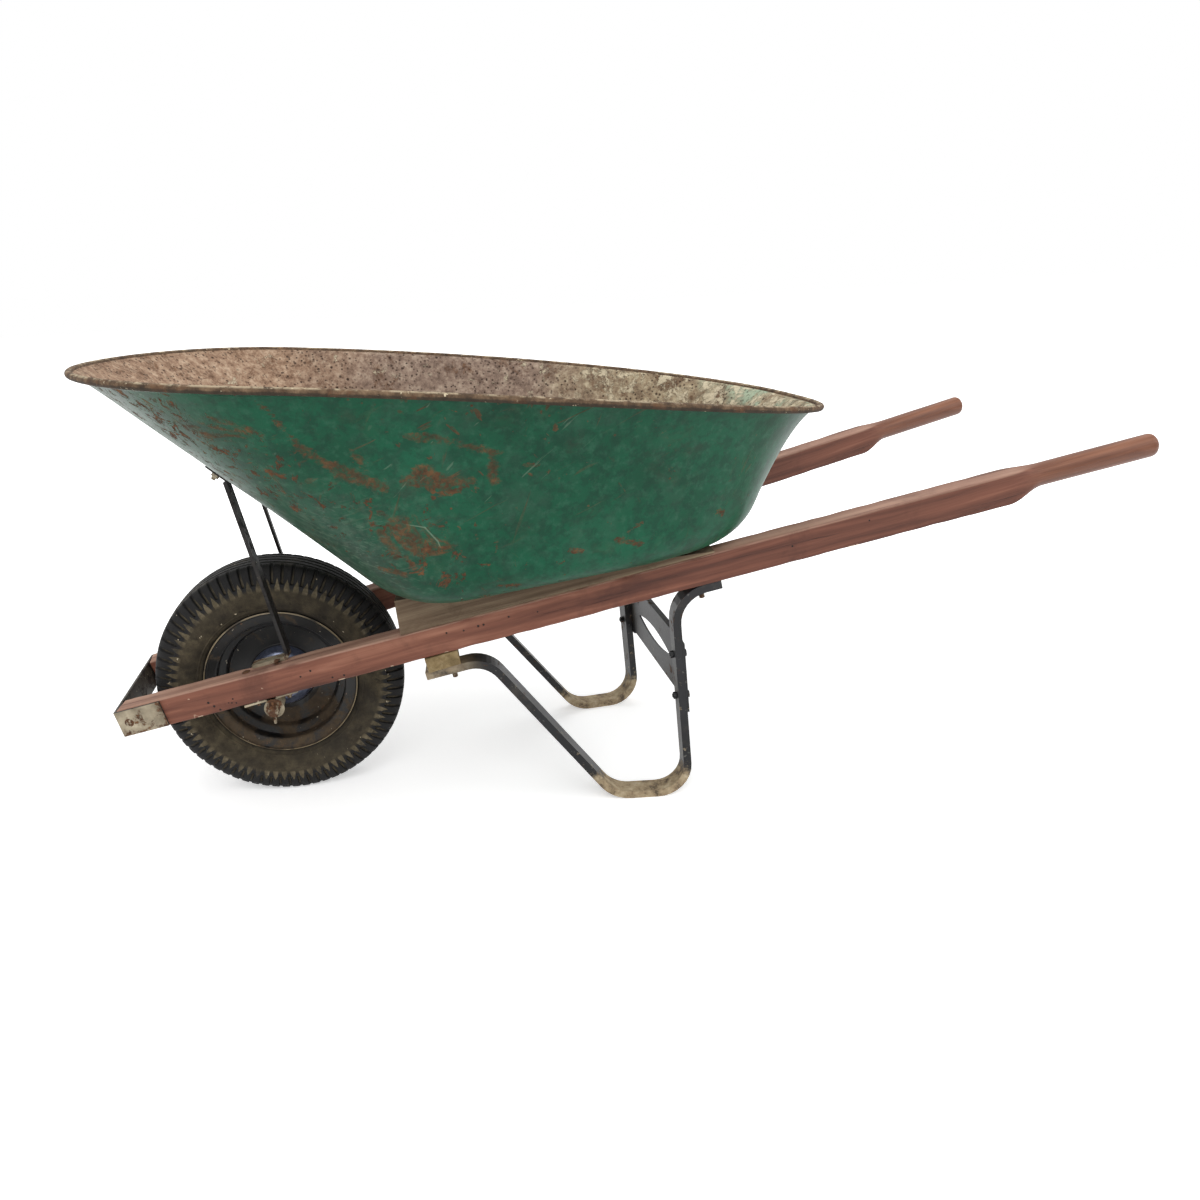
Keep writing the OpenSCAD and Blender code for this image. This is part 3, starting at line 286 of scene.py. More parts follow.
def mat_tray_out():
    m = Mat("tray_green_outside")
    x, _, z = m.xyz()
    big = m.noise(5, 6, 0.6)
    fine = m.noise(90, 6, 0.6)
    green = m.ramp(big, [(0.3, srgb(6, 60, 40)), (0.5, srgb(12, 80, 55)), (0.72, srgb(20, 90, 64))])
    green = m.mix(m.mul(m.step(fine, 0.48, 0.7), 0.55), green, srgb(48, 96, 74))
    green = m.mix(m.mul(m.step(m.noise(55, 8, 0.72), 0.56, 0.40), 0.5), green, srgb(10, 46, 34))
    # chalky worn film and grime, greyer low down at the front
    low = m.step(z, 0.36, 0.50, 1.0, 0.0)
    front = m.step(x, (-60 + OX) * MM, (330 + OX) * MM, 1.0, 0.0)
    film = m.mul(m.step(m.noise(14, 7, 0.65, 0.4), 0.48, 0.70), 0.35)
    green = m.mix(film, green, srgb(58, 88, 72))
    belly = m.mul(m.step(z, 0.40, 0.60, 1.0, 0.0), m.step(x, (60 + OX) * MM, (300 + OX) * MM, 1.0, 0.0))
    scuffed = m.mul(belly, m.step(m.noise(10, 6, 0.6), 0.30, 0.55, 0.5, 0.95))
    chalky = m.ramp(fine, [(0.35, srgb(44, 58, 52)), (0.55, srgb(74, 86, 76)), (0.7, srgb(104, 110, 96))])
    green = m.mix(scuffed, green, chalky)
    grime = m.mul(m.step(m.noise(9, 8, 0.7, 0.8, m.mapped(scale=(1, 1, 2))), 0.52, 0.7), 0.6)
    green = m.mix(grime, green, srgb(36, 50, 38))
    brown = m.step(x, (80 + OX) * MM, (-160 + OX) * MM, 0.0, 0.40)
    brown = m.mul(brown, m.step(m.noise(30, 8, 0.72), 0.38, 0.60, 0.5, 1.0))
    green = m.mix(brown, green, srgb(66, 56, 44))
    # scratches in three directions
    flat_lines = streaks(m, (0, 0.45, 0.1), 120, 0.64, 0.69)
    steep_lines = streaks(m, (0.2, -0.9, 0), 95, 0.66, 0.70, 0.08, (0.3, 0.1, 0))
    cross_lines = streaks(m, (0, 1.25, 0.3), 70, 0.655, 0.70, 0.07, (0.1, 0.7, 0))
    patch = m.step(m.noise(3.2, 4, 0.6), 0.42, 0.6)
    scratch = m.mul(m.top(flat_lines, steep_lines, cross_lines), patch)
    # rust: chips, a mottled diagonal band, patches towards the front and along the bottom bend
    band = m.math("ABSOLUTE", m.add(m.add(m.mul(x, 0.62), z), -0.62 * (170 + OX) * MM - 0.50))
    band = m.mul(m.step(band, 0.0, 0.10, 1.0, 0.0), m.step(x, (380 + OX) * MM, (230 + OX) * MM))
    where = m.add(m.add(m.mul(low, 0.035), m.mul(front, 0.02)), m.mul(band, 0.095))
    chips = m.step(m.add(m.noise(46, 9, 0.74, 0.5), where), 0.65, 0.70)
    wide = m.step(m.add(m.noise(8, 8, 0.74, 0.9), where), 0.655, 0.72)
    spots = m.add(m.mul(m.voronoi(60), -1.0), 1.0)
    pit = m.mul(m.step(spots, 0.86, 0.93), m.step(m.noise(11, 4), 0.5, 0.62))
    brushed = marks(m, RUST_MARKS)
    edge = m.mul(m.step(z, 0.352, 0.372, 1.0, 0.0), m.step(m.noise(30, 6, 0.6), 0.45, 0.55))
    worn = m.top(m.mul(wide, 0.8), brushed, m.mul(edge, 0.85))
    worn = m.mul(worn, m.step(m.noise(150, 6, 0.7), 0.40, 0.54, 0.30, 1.0))
    rust = m.top(chips, pit, worn, m.mul(scratch, 0.7))
    tone = m.mix(m.mul(front, low), rust_colour(m, 70), DIRT_TAN, "MIX")
    col = m.mix(rust, green, m.mix(0.35, rust_colour(m, 70), tone))
    light = m.mul(streaks(m, (0.1, 0.75, 0.2), 150, 0.68, 0.72, 0.05, (0.5, 0.2, 0)), patch)
    fan = m.top(streaks(m, (0.0, -0.55, 0.4), 210, 0.60, 0.66, 0.04, (0.2, 0.4, 0)),
                streaks(m, (0.0, 0.25, 0.2), 240, 0.61, 0.67, 0.05, (0.7, 0.1, 0)))
    fan = m.mul(fan, belly)
    light = m.top(m.mul(light, 0.5), m.mul(fan, 0.8), marks(m, LIGHT_MARKS, 60, 0.0004))
    col = m.mix(m.mul(light, 0.6), col, srgb(118, 140, 118))
    dust = m.mul(m.step(m.noise(22, 8, 0.7), 0.55, 0.72), m.add(0.06, m.mul(belly, 0.40)))
    col = m.mix(dust, col, srgb(112, 92, 66))
    m.bump(rust, 0.0006, 0.7)
    m.bump(m.noise(300, 4, 0.6), 0.0002, 0.5)
    m.bump(m.noise(12, 5, 0.6), 0.0018, 0.55)
    rough = m.mixf(rust, m.mixf(film, 0.40, 0.58), 0.85)
    return m.finish(col, rough, 0.0, Specular_IOR_Level=0.18)


def mat_tray_in():
    m = Mat("tray_rusty_inside")
    x, _, z = m.xyz()
    wob = m.mul(m.add(m.noise(6, 7, 0.65), -0.5), 0.34)
    t = m.math("ADD", x, wob)
    n = m.noise(62, 10, 0.76)
    front = m.ramp(n, [(0.32, srgb(100, 76, 60)), (0.48, srgb(154, 126, 104)), (0.64, srgb(192, 168, 144))])
    mid = m.ramp(n, [(0.32, srgb(82, 66, 58)), (0.5, srgb(142, 122, 108)), (0.68, srgb(184, 166, 148))])
    rear = m.ramp(n, [(0.3, srgb(92, 76, 62)), (0.48, srgb(150, 132, 108)), (0.66, srgb(204, 192, 162))])
    col = m.mix(m.step(t, (0 + OX) * MM, (230 + OX) * MM), front, mid)
    col = m.mix(m.step(t, (430 + OX) * MM, (640 + OX) * MM), col, rear)
    mint = m.mul(m.step(t, (700 + OX) * MM, (790 + OX) * MM), m.step(m.noise(16, 8, 0.7), 0.44, 0.6))
    col = m.mix(m.mul(mint, 0.7), col, srgb(156, 182, 158))
    flake = m.step(m.noise(17, 9, 0.76, 0.7), 0.52, 0.60)
    flake = m.mul(flake, m.step(m.noise(130, 6, 0.7), 0.38, 0.52, 0.3, 1.0))
    col = m.mix(m.mul(flake, 0.65), col, rust_colour(m, 80))
    pits = m.mul(m.step(m.voronoi(150), 0.10, 0.40, 1.0, 0.0), m.step(m.noise(14, 6, 0.65), 0.40, 0.54))
    holes = m.mul(m.step(m.voronoi(74), 0.08, 0.27, 1.0, 0.0), m.step(m.noise(9, 5), 0.42, 0.56))
    col = m.mix(m.mul(m.top(pits, holes), 0.92), col, srgb(46, 33, 27))
    grow = m.step(t, (350 + OX) * MM, (640 + OX) * MM, -0.01, 0.075)
    crust = m.step(m.add(m.noise(34, 9, 0.78, 0.4), grow), 0.58, 0.65)
    col = m.mix(m.mul(crust, 0.8), col, srgb(212, 200, 172))
    floor = m.step(z, 0.40, 0.44, 1.0, 0.0)
    col = m.mix(m.mul(m.mul(floor, m.step(m.noise(20, 6), 0.4, 0.6)), 0.4), col, srgb(104, 80, 60))
    m.bump(m.noise(110, 8, 0.7), 0.0009, 0.8)
    m.bump(m.add(crust, m.mul(m.top(pits, holes), -0.8)), 0.0009, 0.8)
    m.bump(flake, 0.0005, 0.6)
    return m.finish(col, 0.88, 0.0, Specular_IOR_Level=0.2)


def mat_bead():
    m = Mat("tray_rim_worn_with_painted_light")
    n = m.noise(60, 8, 0.72)
    up = m.normal_z()
    col = m.ramp(n, [(0.28, srgb(48, 38, 30)), (0.48, srgb(86, 68, 52)),
                     (0.62, srgb(122, 100, 78)), (0.8, srgb(168, 146, 118))])
    # painted highlight: faces that look up are lightened towards pale cream, as if light falls on the bead's
    # top
    painted_top_highlight = m.mul(m.step(up, 0.45, 0.95), m.step(m.noise(46, 8, 0.74), 0.46, 0.58))
    col = m.mix(m.mul(painted_top_highlight, 0.6), col, srgb(204, 188, 158))
    # painted shade: faces that look down are darkened, as shade under the bead
    painted_underside_shade = m.step(m.add(up, m.mul(m.add(n, -0.5), 0.8)), 0.15, -0.35)
    col = m.mix(m.mul(painted_underside_shade, 0.8), col, srgb(48, 42, 34))
    specks = m.step(m.noise(150, 4, 0.6), 0.66, 0.70)
    col = m.mix(specks, col, srgb(206, 192, 162))
    rust = m.step(m.noise(30, 8, 0.7, 0.4), 0.54, 0.62)
    col = m.mix(m.mul(rust, 0.6), col, rust_colour(m, 90))
    m.bump(n, 0.0008, 0.8)
    return m.finish(col, 0.8, 0.0, Specular_IOR_Level=0.25)


def mat_handle():
    """Object coordinates are the handle's own: x along it, y across, z up from its top face."""
    m = Mat("handle_wood")
    x, y, z = m.xyz()
    stretched = m.mapped(scale=(1.6, 46, 46))
    bend = m.noise(3.0, 3, 0.5, 0.0, m.mapped(scale=(0.6, 4, 4)), True)
    v = m.node("ShaderNodeVectorMath", operation="ADD")
    scaled = m.node("ShaderNodeVectorMath", operation="SCALE")
    m.put(scaled.inputs[0], bend)
    scaled.inputs["Scale"].default_value = 1.6
    m.put(v.inputs[0], stretched)
    m.put(v.inputs[1], scaled.outputs[0])
    grain = m.noise(1.0, 7, 0.62, 0.2, v.outputs[0])
    fibre = m.noise(1.0, 5, 0.7, 0.0, m.mapped(scale=(5, 260, 260)))
    cloud = m.noise(5, 5, 0.6)
    side = m.ramp(grain, [(0.30, srgb(54, 32, 25)), (0.44, srgb(98, 58, 45)),
                          (0.56, srgb(126, 78, 61)), (0.72, srgb(164, 112, 90))])
    pale = m.ramp(grain, [(0.28, srgb(122, 90, 76)), (0.45, srgb(164, 126, 108)),
                          (0.6, srgb(188, 150, 130)), (0.8, srgb(208, 174, 152))])
    top = m.mul(m.step(z, -0.0030, -0.0006), m.step(m.add(cloud, m.mul(fibre, 0.35)), 0.48, 0.68, 0.55, 1.0))
    edge = m.math("ABSOLUTE", y)
    wear = m.mul(m.step(edge, 0.0165, 0.0185), m.step(z, -0.0035, -0.001))
    grip = m.step(x, 1.325, 1.375)
    col = m.mix(m.mul(m.top(top, wear), m.math("SUBTRACT", 1.0, m.mul(grip, 0.6))), side, pale)
    # weather cracks and dark fibres
    crack = m.mul(m.step(fibre, 0.56, 0.66), m.step(grain, 0.56, 0.38))
    col = m.mix(m.mul(crack, 0.75), col, srgb(48, 26, 20))
    stain = m.mul(m.step(m.noise(7, 7, 0.7, 0.6), 0.54, 0.70), 0.45)
    col = m.mix(stain, col, srgb(70, 40, 32))
    col = m.mix(m.step(x, 0.75, 1.25, 0.0, 0.22), col, srgb(64, 40, 30))
    # handled, polished grips
    grip_wood = m.ramp(grain, [(0.3, srgb(70, 42, 30)), (0.5, srgb(112, 70, 50)), (0.7, srgb(150, 102, 76))])
    col = m.mix(m.mul(grip, 0.85), col, grip_wood)
    # nail holes, painted near black as the shade inside each hole
    hole = None
    for hole_x, hole_z, hole_r in HANDLE_HOLES:
        n = m.node("ShaderNodeVectorMath", operation="DISTANCE")
        c = m.node("ShaderNodeCombineXYZ")
        m.put(c.inputs[0], x)
        m.put(c.inputs[2], z)
        m.put(n.inputs[0], c.outputs[0])
        n.inputs[1].default_value = (hole_x * MM, 0, hole_z * MM)
        s = m.step(n.outputs["Value"], hole_r * MM * 0.7, hole_r * MM, 1.0, 0.0)
        hole = s if hole is None else m.top(hole, s)
    sides = m.step(z, -0.0015, -0.003)
    hole = m.mul(hole, sides)
    col = m.mix(hole, col, srgb(22, 13, 10))
    # cream specks of dried dirt
    speck = m.mul(m.step(m.noise(60, 3, 0.5), 0.735, 0.75), m.step(m.noise(6, 3), 0.45, 0.6))
    drawn = m.noise(48, 3, 0.5, 0, m.mapped(scale=(1, 0.2, 0.2)))
    low = m.mul(m.step(z, -0.041, -0.0425), m.step(drawn, 0.68, 0.70))
    col = m.mix(m.top(speck, low), col, srgb(206, 178, 152))
    m.bump(m.mul(hole, -1.0), 0.002, 1.0)
    m.bump(m.mul(fibre, m.math("SUBTRACT", 1.0, m.mul(grip, 0.7))), 0.0007, 0.6)
    m.bump(m.mul(crack, -1.0), 0.0008, 0.8)
    m.bump(grain, 0.0010, 0.5)
    rough = m.mixf(grip, m.mixf(top, 0.62, 0.78), 0.40)
    return m.finish(col, rough, 0.0, Specular_IOR_Level=0.35)


def mat_block(name, rot, dark, mid, light):
    m = Mat(name)
    v = m.mapped(rot=rot)
    grain = m.noise(1.0, 7, 0.65, 0.3, m.mapped(v, scale=(2.2, 60, 60)))
    fibre = m.noise(1.0, 4, 0.7, 0.0, m.mapped(v, scale=(7, 330, 330)))
    col = m.ramp(grain, [(0.28, dark), (0.5, mid), (0.74, light)])
    crack = m.step(fibre, 0.60, 0.70)
    col = m.mix(m.mul(crack, 0.6), col, srgb(50, 40, 30))
    stain = m.mul(m.step(m.noise(18, 7, 0.7, 0.5), 0.52, 0.68), 0.5)
    col = m.mix(stain, col, srgb(76, 62, 46))
    m.bump(fibre, 0.0008, 0.8)
    m.bump(grain, 0.0014, 0.7)
    return m.finish(col, 0.85, 0.0, Specular_IOR_Level=0.2)


def mat_black_steel():
    m = Mat("leg_black_steel")
    x, _, z = m.xyz()
    n = m.noise(60, 8, 0.68)
    col = m.ramp(m.noise(12, 6, 0.6), [(0.3, srgb(13, 13, 15)), (0.6, srgb(24, 24, 27)),
                                       (0.8, srgb(40, 40, 43))])
    rust = m.step(m.noise(38, 9, 0.72, 0.5), 0.585, 0.64)
    col = m.mix(m.mul(rust, 0.7), col, rust_colour(m, 110))
    scratch = m.step(m.noise(140, 4, 0.6), 0.64, 0.69)
    col = m.mix(m.mul(scratch, 0.55), col, srgb(104, 102, 98))
    film = m.step(m.noise(18, 7, 0.68), 0.50, 0.68)
    col = m.mix(m.mul(film, 0.35), col, srgb(84, 78, 68))
    # dusty front tips, and dried mud that climbs the feet
    tip = m.mul(m.step(x, (318 + OX) * MM, (262 + OX) * MM), m.step(m.noise(26, 7, 0.68), 0.36, 0.56))
    climb = m.add(m.mul(z, -9.0), m.mul(m.noise(22, 8, 0.72), 1.35))
    mud = m.mul(m.step(climb, 0.16, 0.40), m.step(m.noise(60, 7, 0.7), 0.34, 0.48, 0.45, 1.0))
    splash = m.mul(m.step(m.noise(75, 6, 0.7), 0.60, 0.66), m.step(z, 0.30, 0.06, 0.0, 1.0))
    mud_colour = m.ramp(n, [(0.3, srgb(120, 100, 76)), (0.5, srgb(172, 152, 122)),
                            (0.7, srgb(208, 192, 162))])
    col = m.mix(m.mul(m.top(mud, m.mul(splash, 0.6), m.mul(tip, 0.7)), 0.92), col, mud_colour)
    m.bump(m.top(mud, m.mul(splash, 0.6)), 0.0012, 0.8)
    m.bump(n, 0.0005, 0.8)
    rough = m.mixf(m.top(rust, mud), 0.42, 0.9)
    return m.finish(col, rough, 0.0, Specular_IOR_Level=0.35)


def mat_rusty_steel(name, pale=0.5, scale=60, dark=None):
    """Old zinc plating: grey-cream where it lasts, rust elsewhere; dark gives a mask of black steel."""
    m = Mat(name)
    n = m.noise(scale, 8, 0.7)
    zinc = m.ramp(m.noise(35, 6, 0.6), [(0.3, srgb(116, 106, 88)), (0.55, srgb(164, 152, 130)),
                                        (0.78, srgb(204, 192, 166))])
    rust = m.step(m.noise(48, 9, 0.72, 0.4), pale - 0.03, pale + 0.05)
    col = m.mix(rust, zinc, rust_colour(m, 120))
    col = m.mix(m.mul(m.step(m.noise(30, 6), 0.55, 0.7), 0.5), col, srgb(58, 46, 36))
    metal = m.mixf(rust, 0.25, 0.0)
    if dark:
        mask = dark(m)
        black = m.ramp(n, [(0.3, srgb(16, 15, 15)), (0.55, srgb(36, 33, 31)), (0.75, srgb(64, 56, 48))])
        black = m.mix(m.step(m.noise(130, 5, 0.6), 0.66, 0.70), black, srgb(176, 166, 144))
        col = m.mix(mask, col, black)
        metal = m.mul(metal, m.inv(mask))
    m.bump(n, 0.0006, 0.8)
    m.bump(rust, 0.0003, 0.6)
    rough = m.mixf(rust, 0.55, 0.85)
    return m.finish(col, rough, metal, Specular_IOR_Level=0.3)


def above(level):
    """A mask that is 1 above a height in metres."""
    return lambda m: m.step(m.xyz()[2], level - 0.004, level + 0.004)


def off_side(m):
    """A mask of faces that don't look sideways: the guard's strap rather than its side plates."""
    n = m.node("ShaderNodeNewGeometry")
    side = m.math("ABSOLUTE", m.xyz(n.outputs["Normal"])[1])
    return m.mul(m.step(side, 0.6, 0.35), 0.85)


def wheel_radius(m):
    x, y, z = m.xyz()
    dx = m.add(x, -AXLE.x)
    dz = m.add(z, -AXLE.z)
    return m.math("SQRT", m.add(m.mul(dx, dx), m.mul(dz, dz))), y


def mat_tyre():
    m = Mat("tyre_rubber")
    r, y = wheel_radius(m)
    n = m.noise(28, 7, 0.65)
    col = m.ramp(n, [(0.3, srgb(15, 15, 15)), (0.55, srgb(26, 25, 25)), (0.8, srgb(40, 38, 36))])
    side = m.mul(m.step(r, 0.118, 0.124), m.step(r, 0.162, 0.154))
    film = m.mul(side, m.step(m.noise(9, 7, 0.65, 0.4), 0.30, 0.60, 0.45, 0.9))
    mud = m.ramp(m.noise(40, 8, 0.7), [(0.3, srgb(48, 42, 34)), (0.5, srgb(76, 68, 54)),
                                       (0.72, srgb(104, 94, 74))])
    col = m.mix(film, col, mud)
    spots = m.mul(m.step(m.noise(42, 5, 0.6), 0.60, 0.66), side)
    col = m.mix(m.mul(spots, 0.6), col, srgb(30, 27, 23))
    # dried dirt packed in the slots: wide at the sidewall, narrow at the crown
    x, _, z = m.xyz()
    turn = m.math("ARCTAN2", m.add(z, -AXLE.z), m.add(x, -AXLE.x))
    shift = m.step(y, -0.001, 0.001, 0.5, 0.0)
    part = m.math("FRACT", m.add(m.add(m.mul(turn, LUGS / (2 * math.pi)), shift), 10.27))
    from_slot = m.math("ABSOLUTE", m.add(part, -0.5))
    ragged = m.mul(m.add(m.noise(90, 5, 0.65), -0.5), 0.22)
    reach = m.add(m.step(r, 0.182, 0.157, -0.10, 0.30), ragged)
    wedge = m.mul(m.step(m.add(from_slot, m.mul(reach, -1.0)), 0.04, -0.04), m.step(r, 0.153, 0.158))
    wedge = m.mul(wedge, m.step(r, 0.182, 0.178))
    groove = m.attr("groove")
    slot = m.mul(m.step(groove, 0.62, 0.9), m.step(r, 0.190, 0.176, 0.0, 0.5))
    wedge = m.top(wedge, slot)
    fill = m.mul(wedge, m.step(m.noise(26, 6, 0.65), 0.34, 0.56, 0.25, 0.95))
    soil = m.ramp(m.noise(70, 7, 0.7), [(0.3, srgb(72, 64, 50)), (0.5, srgb(106, 96, 76)),
                                        (0.7, srgb(136, 124, 102))])
    col = m.mix(m.mul(fill, 0.92), col, soil)
    tread = m.step(r, 0.1905, 0.1925)
    dust = m.mul(tread, m.step(m.noise(24, 8, 0.7), 0.48, 0.7, 0.03, 0.38))
    col = m.mix(dust, col, srgb(104, 96, 82))
    specks = m.step(m.noise(120, 3, 0.5), 0.735, 0.75)
    col = m.mix(specks, col, srgb(200, 186, 160))
    # fine crazing of old rubber
    craze = m.step(m.voronoi(420, None, "DISTANCE_TO_EDGE"), 0.0, 0.06, 1.0, 0.0)
    col = m.mix(m.mul(m.mul(craze, side), 0.3), col, srgb(20, 19, 18))
    m.bump(m.mul(craze, -1.0), 0.0003, 0.5)
    m.bump(m.noise(160, 6, 0.65), 0.0005, 0.6)
    rough = m.mixf(m.top(film, fill), 0.60, 0.92)
    return m.finish(col, rough, 0.0, Specular_IOR_Level=0.22)


def mat_rim():
    m = Mat("rim_black_paint")
    r, _ = wheel_radius(m)
    z = m.xyz()[2]
    n = m.noise(50, 8, 0.7)
    col = m.ramp(m.noise(20, 6, 0.6), [(0.3, srgb(12, 12, 12)), (0.6, srgb(21, 20, 19)),
                                       (0.8, srgb(34, 31, 28))])
    lowd = m.step(z, AXLE.z + 0.03, AXLE.z - 0.08, -0.03, 0.10)
    dirt = m.step(m.add(m.noise(24, 8, 0.72, 0.4), lowd), 0.50, 0.66)
    col = m.mix(m.mul(dirt, 0.75), col, m.ramp(n, [(0.3, srgb(58, 46, 34)), (0.6, srgb(92, 76, 56))]))
    rust = m.step(m.noise(60, 8, 0.72), 0.63, 0.68)
    col = m.mix(m.mul(rust, 0.7), col, rust_colour(m, 120))
    dome = m.step(r, 0.0515, 0.0495)
    blue = m.ramp(n, [(0.35, srgb(72, 78, 96)), (0.6, srgb(104, 110, 130)), (0.8, srgb(150, 154, 168))])
    col = m.mix(m.mul(dome, 0.92), col, blue)
    # painted shadow: a near-black ring round the dome stands for the shade in the recess between the dome
    # and the disc
    ring = m.mul(m.step(r, 0.0505, 0.052), m.step(r, 0.061, 0.0595))
    col = m.mix(m.mul(ring, 0.8), col, srgb(9, 9, 10))
    neck = m.mul(m.step(r, 0.026, 0.022), m.step(m.noise(70, 6, 0.7), 0.4, 0.55, 0.5, 1.0))
    col = m.mix(m.mul(neck, 0.85), col, srgb(62, 44, 32))
    # a tan line round the flange's edge: partly dirt, partly a painted highlight on the edge
    lip = m.step(r, 0.1166, 0.1174)
    col = m.mix(m.mul(lip, m.step(m.noise(22, 6), 0.42, 0.56, 0.15, 0.9)), col, srgb(150, 134, 106))
    specks = m.step(m.noise(170, 3, 0.5), 0.725, 0.74)
    col = m.mix(specks, col, srgb(170, 160, 140))
    m.bump(n, 0.0004, 0.6)
    rough = m.mixf(dome, m.mixf(dirt, 0.45, 0.85), 0.20)
    return m.finish(col, rough, m.mul(dome, 0.5), Specular_IOR_Level=0.4)


def mat_plain(name, colour, rough, metal=0.0):
    m = Mat(name)
    n = m.noise(80, 7, 0.65)
    c = m.mix(m.step(n, 0.4, 0.7, 0.0, 0.5), colour, tuple(v * 0.45 for v in colour[:3]) + (1.0,))
    m.bump(n, 0.0003, 0.7)
    return m.finish(c, rough, metal)


def marks(m, table, freq=70.0, wobble=0.006):
    """Brushed marks round line segments: each is (start, end, radius in mm, strength)."""
    n = m.noise(freq, 7, 0.72, 0.3, m.mapped(scale=(0.35, 1, 1)))
    fine = m.noise(freq * 3.2, 4, 0.6)
    off = m.add(m.mul(m.add(n, -0.5), wobble * 4), m.mul(m.add(fine, -0.5), wobble * 1.4))
    out = None
    for a, b, r, strength in table:
        pa = Vector(((a[0] + OX) * MM, a[1] * MM, a[2] * MM))
        pb = Vector(((b[0] + OX) * MM, b[1] * MM, b[2] * MM))
        axis, length = (pb - pa).normalized(), (pb - pa).length
        from_start = m.vec("SUBTRACT", m.co, pa)
        t = m.vec("DOT_PRODUCT", from_start, axis)
        t = m.math("MINIMUM", m.math("MAXIMUM", t, 0.0), length)
        along = m.node("ShaderNodeVectorMath", operation="SCALE")
        along.inputs[0].default_value = axis
        m.put(along.inputs["Scale"], t)
        d = m.vec("LENGTH", m.vec("SUBTRACT", from_start, along.outputs[0]))
        s = m.step(m.add(d, off), r * MM * 0.5, r * MM * 1.15, strength, 0.0)
        out = s if out is None else m.top(out, s)
    return out


# ---------------------------------------------------------------- mesh helpers
def new_mesh(name, verts, faces, mats, body, smooth=40, indices=None, matrix=None, attrs=None):
    """A piece from points in metres, with sharp edges above an angle."""
    me = bpy.data.meshes.new(name)
    me.from_pydata([tuple(v) for v in verts], [], faces)
    for mat in mats:
        me.materials.append(mat)
    if indices:
        me.polygons.foreach_set("material_index", indices)
    for key, values in (attrs or {}).items():
        a = me.attributes.new(key, "FLOAT", "POINT")
        a.data.foreach_set("value", values)
    me.update()
    bm = bmesh.new()
    bm.from_mesh(me)
    bmesh.ops.recalc_face_normals(bm, faces=bm.faces)
    lim = math.radians(smooth)
    for f in bm.faces:
        f.smooth = True
    for e in bm.edges:
        if len(e.link_faces) == 2 and e.calc_face_angle(0) > lim:
            e.smooth = False
    bm.to_mesh(me)
    bm.free()
    ob = bpy.data.objects.new(name, me)
    bpy.context.scene.collection.objects.link(ob)
    if matrix is not None:
        ob.matrix_world = matrix
    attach(ob, body)
    return ob


def grid_faces(rows, cols, wrap_rows=True, wrap_cols=False):
    out = []
    for i in range(rows if wrap_rows else rows - 1):
        j = (i + 1) % rows
        for k in range(cols if wrap_cols else cols - 1):
            l = (k + 1) % cols
            out.append((i * cols + k, i * cols + l, j * cols + l, j * cols + k))
    return out


def wave(p, freq, amp):
    return amp * noise.noise(Vector((p[0] * freq, p[1] * freq, p[2] * freq)))


# ---------------------------------------------------------------- tray
TRAY_LEN, TRAY_FRONT, TRAY_W, TRAY_WIDEST = 1046, 208, 362, 258
TRAY_DEPTH, RIM_FALL = 334, 111
FLOOR_LEN, FLOOR_W, FLOOR_TILT, BELLY = 524, 244, math.radians(5.7), 58
WALL, BEAD = 1.8, 4.6


def floor_z(x):
    return WEDGE_Z + SEAT_GAP + math.tan(FLOOR_TILT) * (x - WEDGE_X)


def egg(a, front, rear, mid, half, nf, nr):
    c, s = math.cos(a), math.sin(a)
    n = nr if c > 0 else nf
    reach = rear - mid if c > 0 else mid - front
    return (mid + reach * math.copysign(abs(c) ** (2 / n), c), half * math.copysign(abs(s) ** (2 / n), s))


def rim_pt(a):
    x, y = egg(a, -TRAY_FRONT, TRAY_LEN - TRAY_FRONT, TRAY_WIDEST - TRAY_FRONT, TRAY_W, 1.95, 2.8)
    t = max(0.0, (x + TRAY_FRONT) / TRAY_LEN)
    return Vector((x, y, floor_z(WEDGE_X) + TRAY_DEPTH - RIM_FALL * t ** 1.45))


def foot_pt(a):
    x, y = egg(a, WEDGE_X, WEDGE_X + FLOOR_LEN, WEDGE_X + 0.21 * FLOOR_LEN, FLOOR_W, 2.8, 4.2)
    return Vector((x, y, floor_z(x)))


def out_dir(a):
    d = rim_pt(a + 0.017) - rim_pt(a - 0.017)
    return Vector((d.y, -d.x, 0)).normalized()


FLARE_FRONT, FLARE_REAR = 1.0, 0.65  # the wall's line down from the rim: 1 is straight, less turns in sooner


def skin(a, t):
    """The outer skin: t runs from 0 at the rim to 1 at the wall's end and 2 at the floor."""
    p, f = rim_pt(a), foot_pt(a)
    end = 1 - BELLY / (f - p).length
    flare = (FLARE_FRONT * (1 - math.cos(a)) + FLARE_REAR * (1 + math.cos(a))) / 2

    def wall(u):
        h = u ** flare
        return Vector((p.x + (f.x - p.x) * h, p.y + (f.y - p.y) * h, p.z + (f.z - p.z) * u))

    if t <= 1:
        q = wall(end * t)
        return q - out_dir(a) * ((2 * BEAD - WALL) * (1 - t))
    v = t - 1
    mid = Vector((WEDGE_X + FLOOR_LEN / 2, 0, 0))
    k = BELLY / math.hypot(f.x - mid.x, f.y)
    x = f.x + (mid.x - f.x) * k
    c = Vector((x, f.y * (1 - k), floor_z(x)))
    return wall(end) * (1 - v) ** 2 + f * (2 * v * (1 - v)) + c * v * v


def skin_normal(a, t):
    along = skin(a + 0.012, t) - skin(a - 0.012, t)
    down = skin(a, min(t + 0.05, 2)) - skin(a, max(t - 0.05, 0))
    return down.cross(along).normalized()


def dent(p):
    """How far the skin is pushed in at a point, in mm: shallow knocks, none where the frame holds it."""
    q = p * 0.001
    d = 1.6 * max(0.0, noise.noise(q * 5.5) + 0.1) + 0.8 * abs(noise.noise(q * 13 + Vector((3, 1, 7))))
    hold = min(1.0, max(0.0, (p.z - floor_z(p.x) - 12) / 60))
    return d * hold


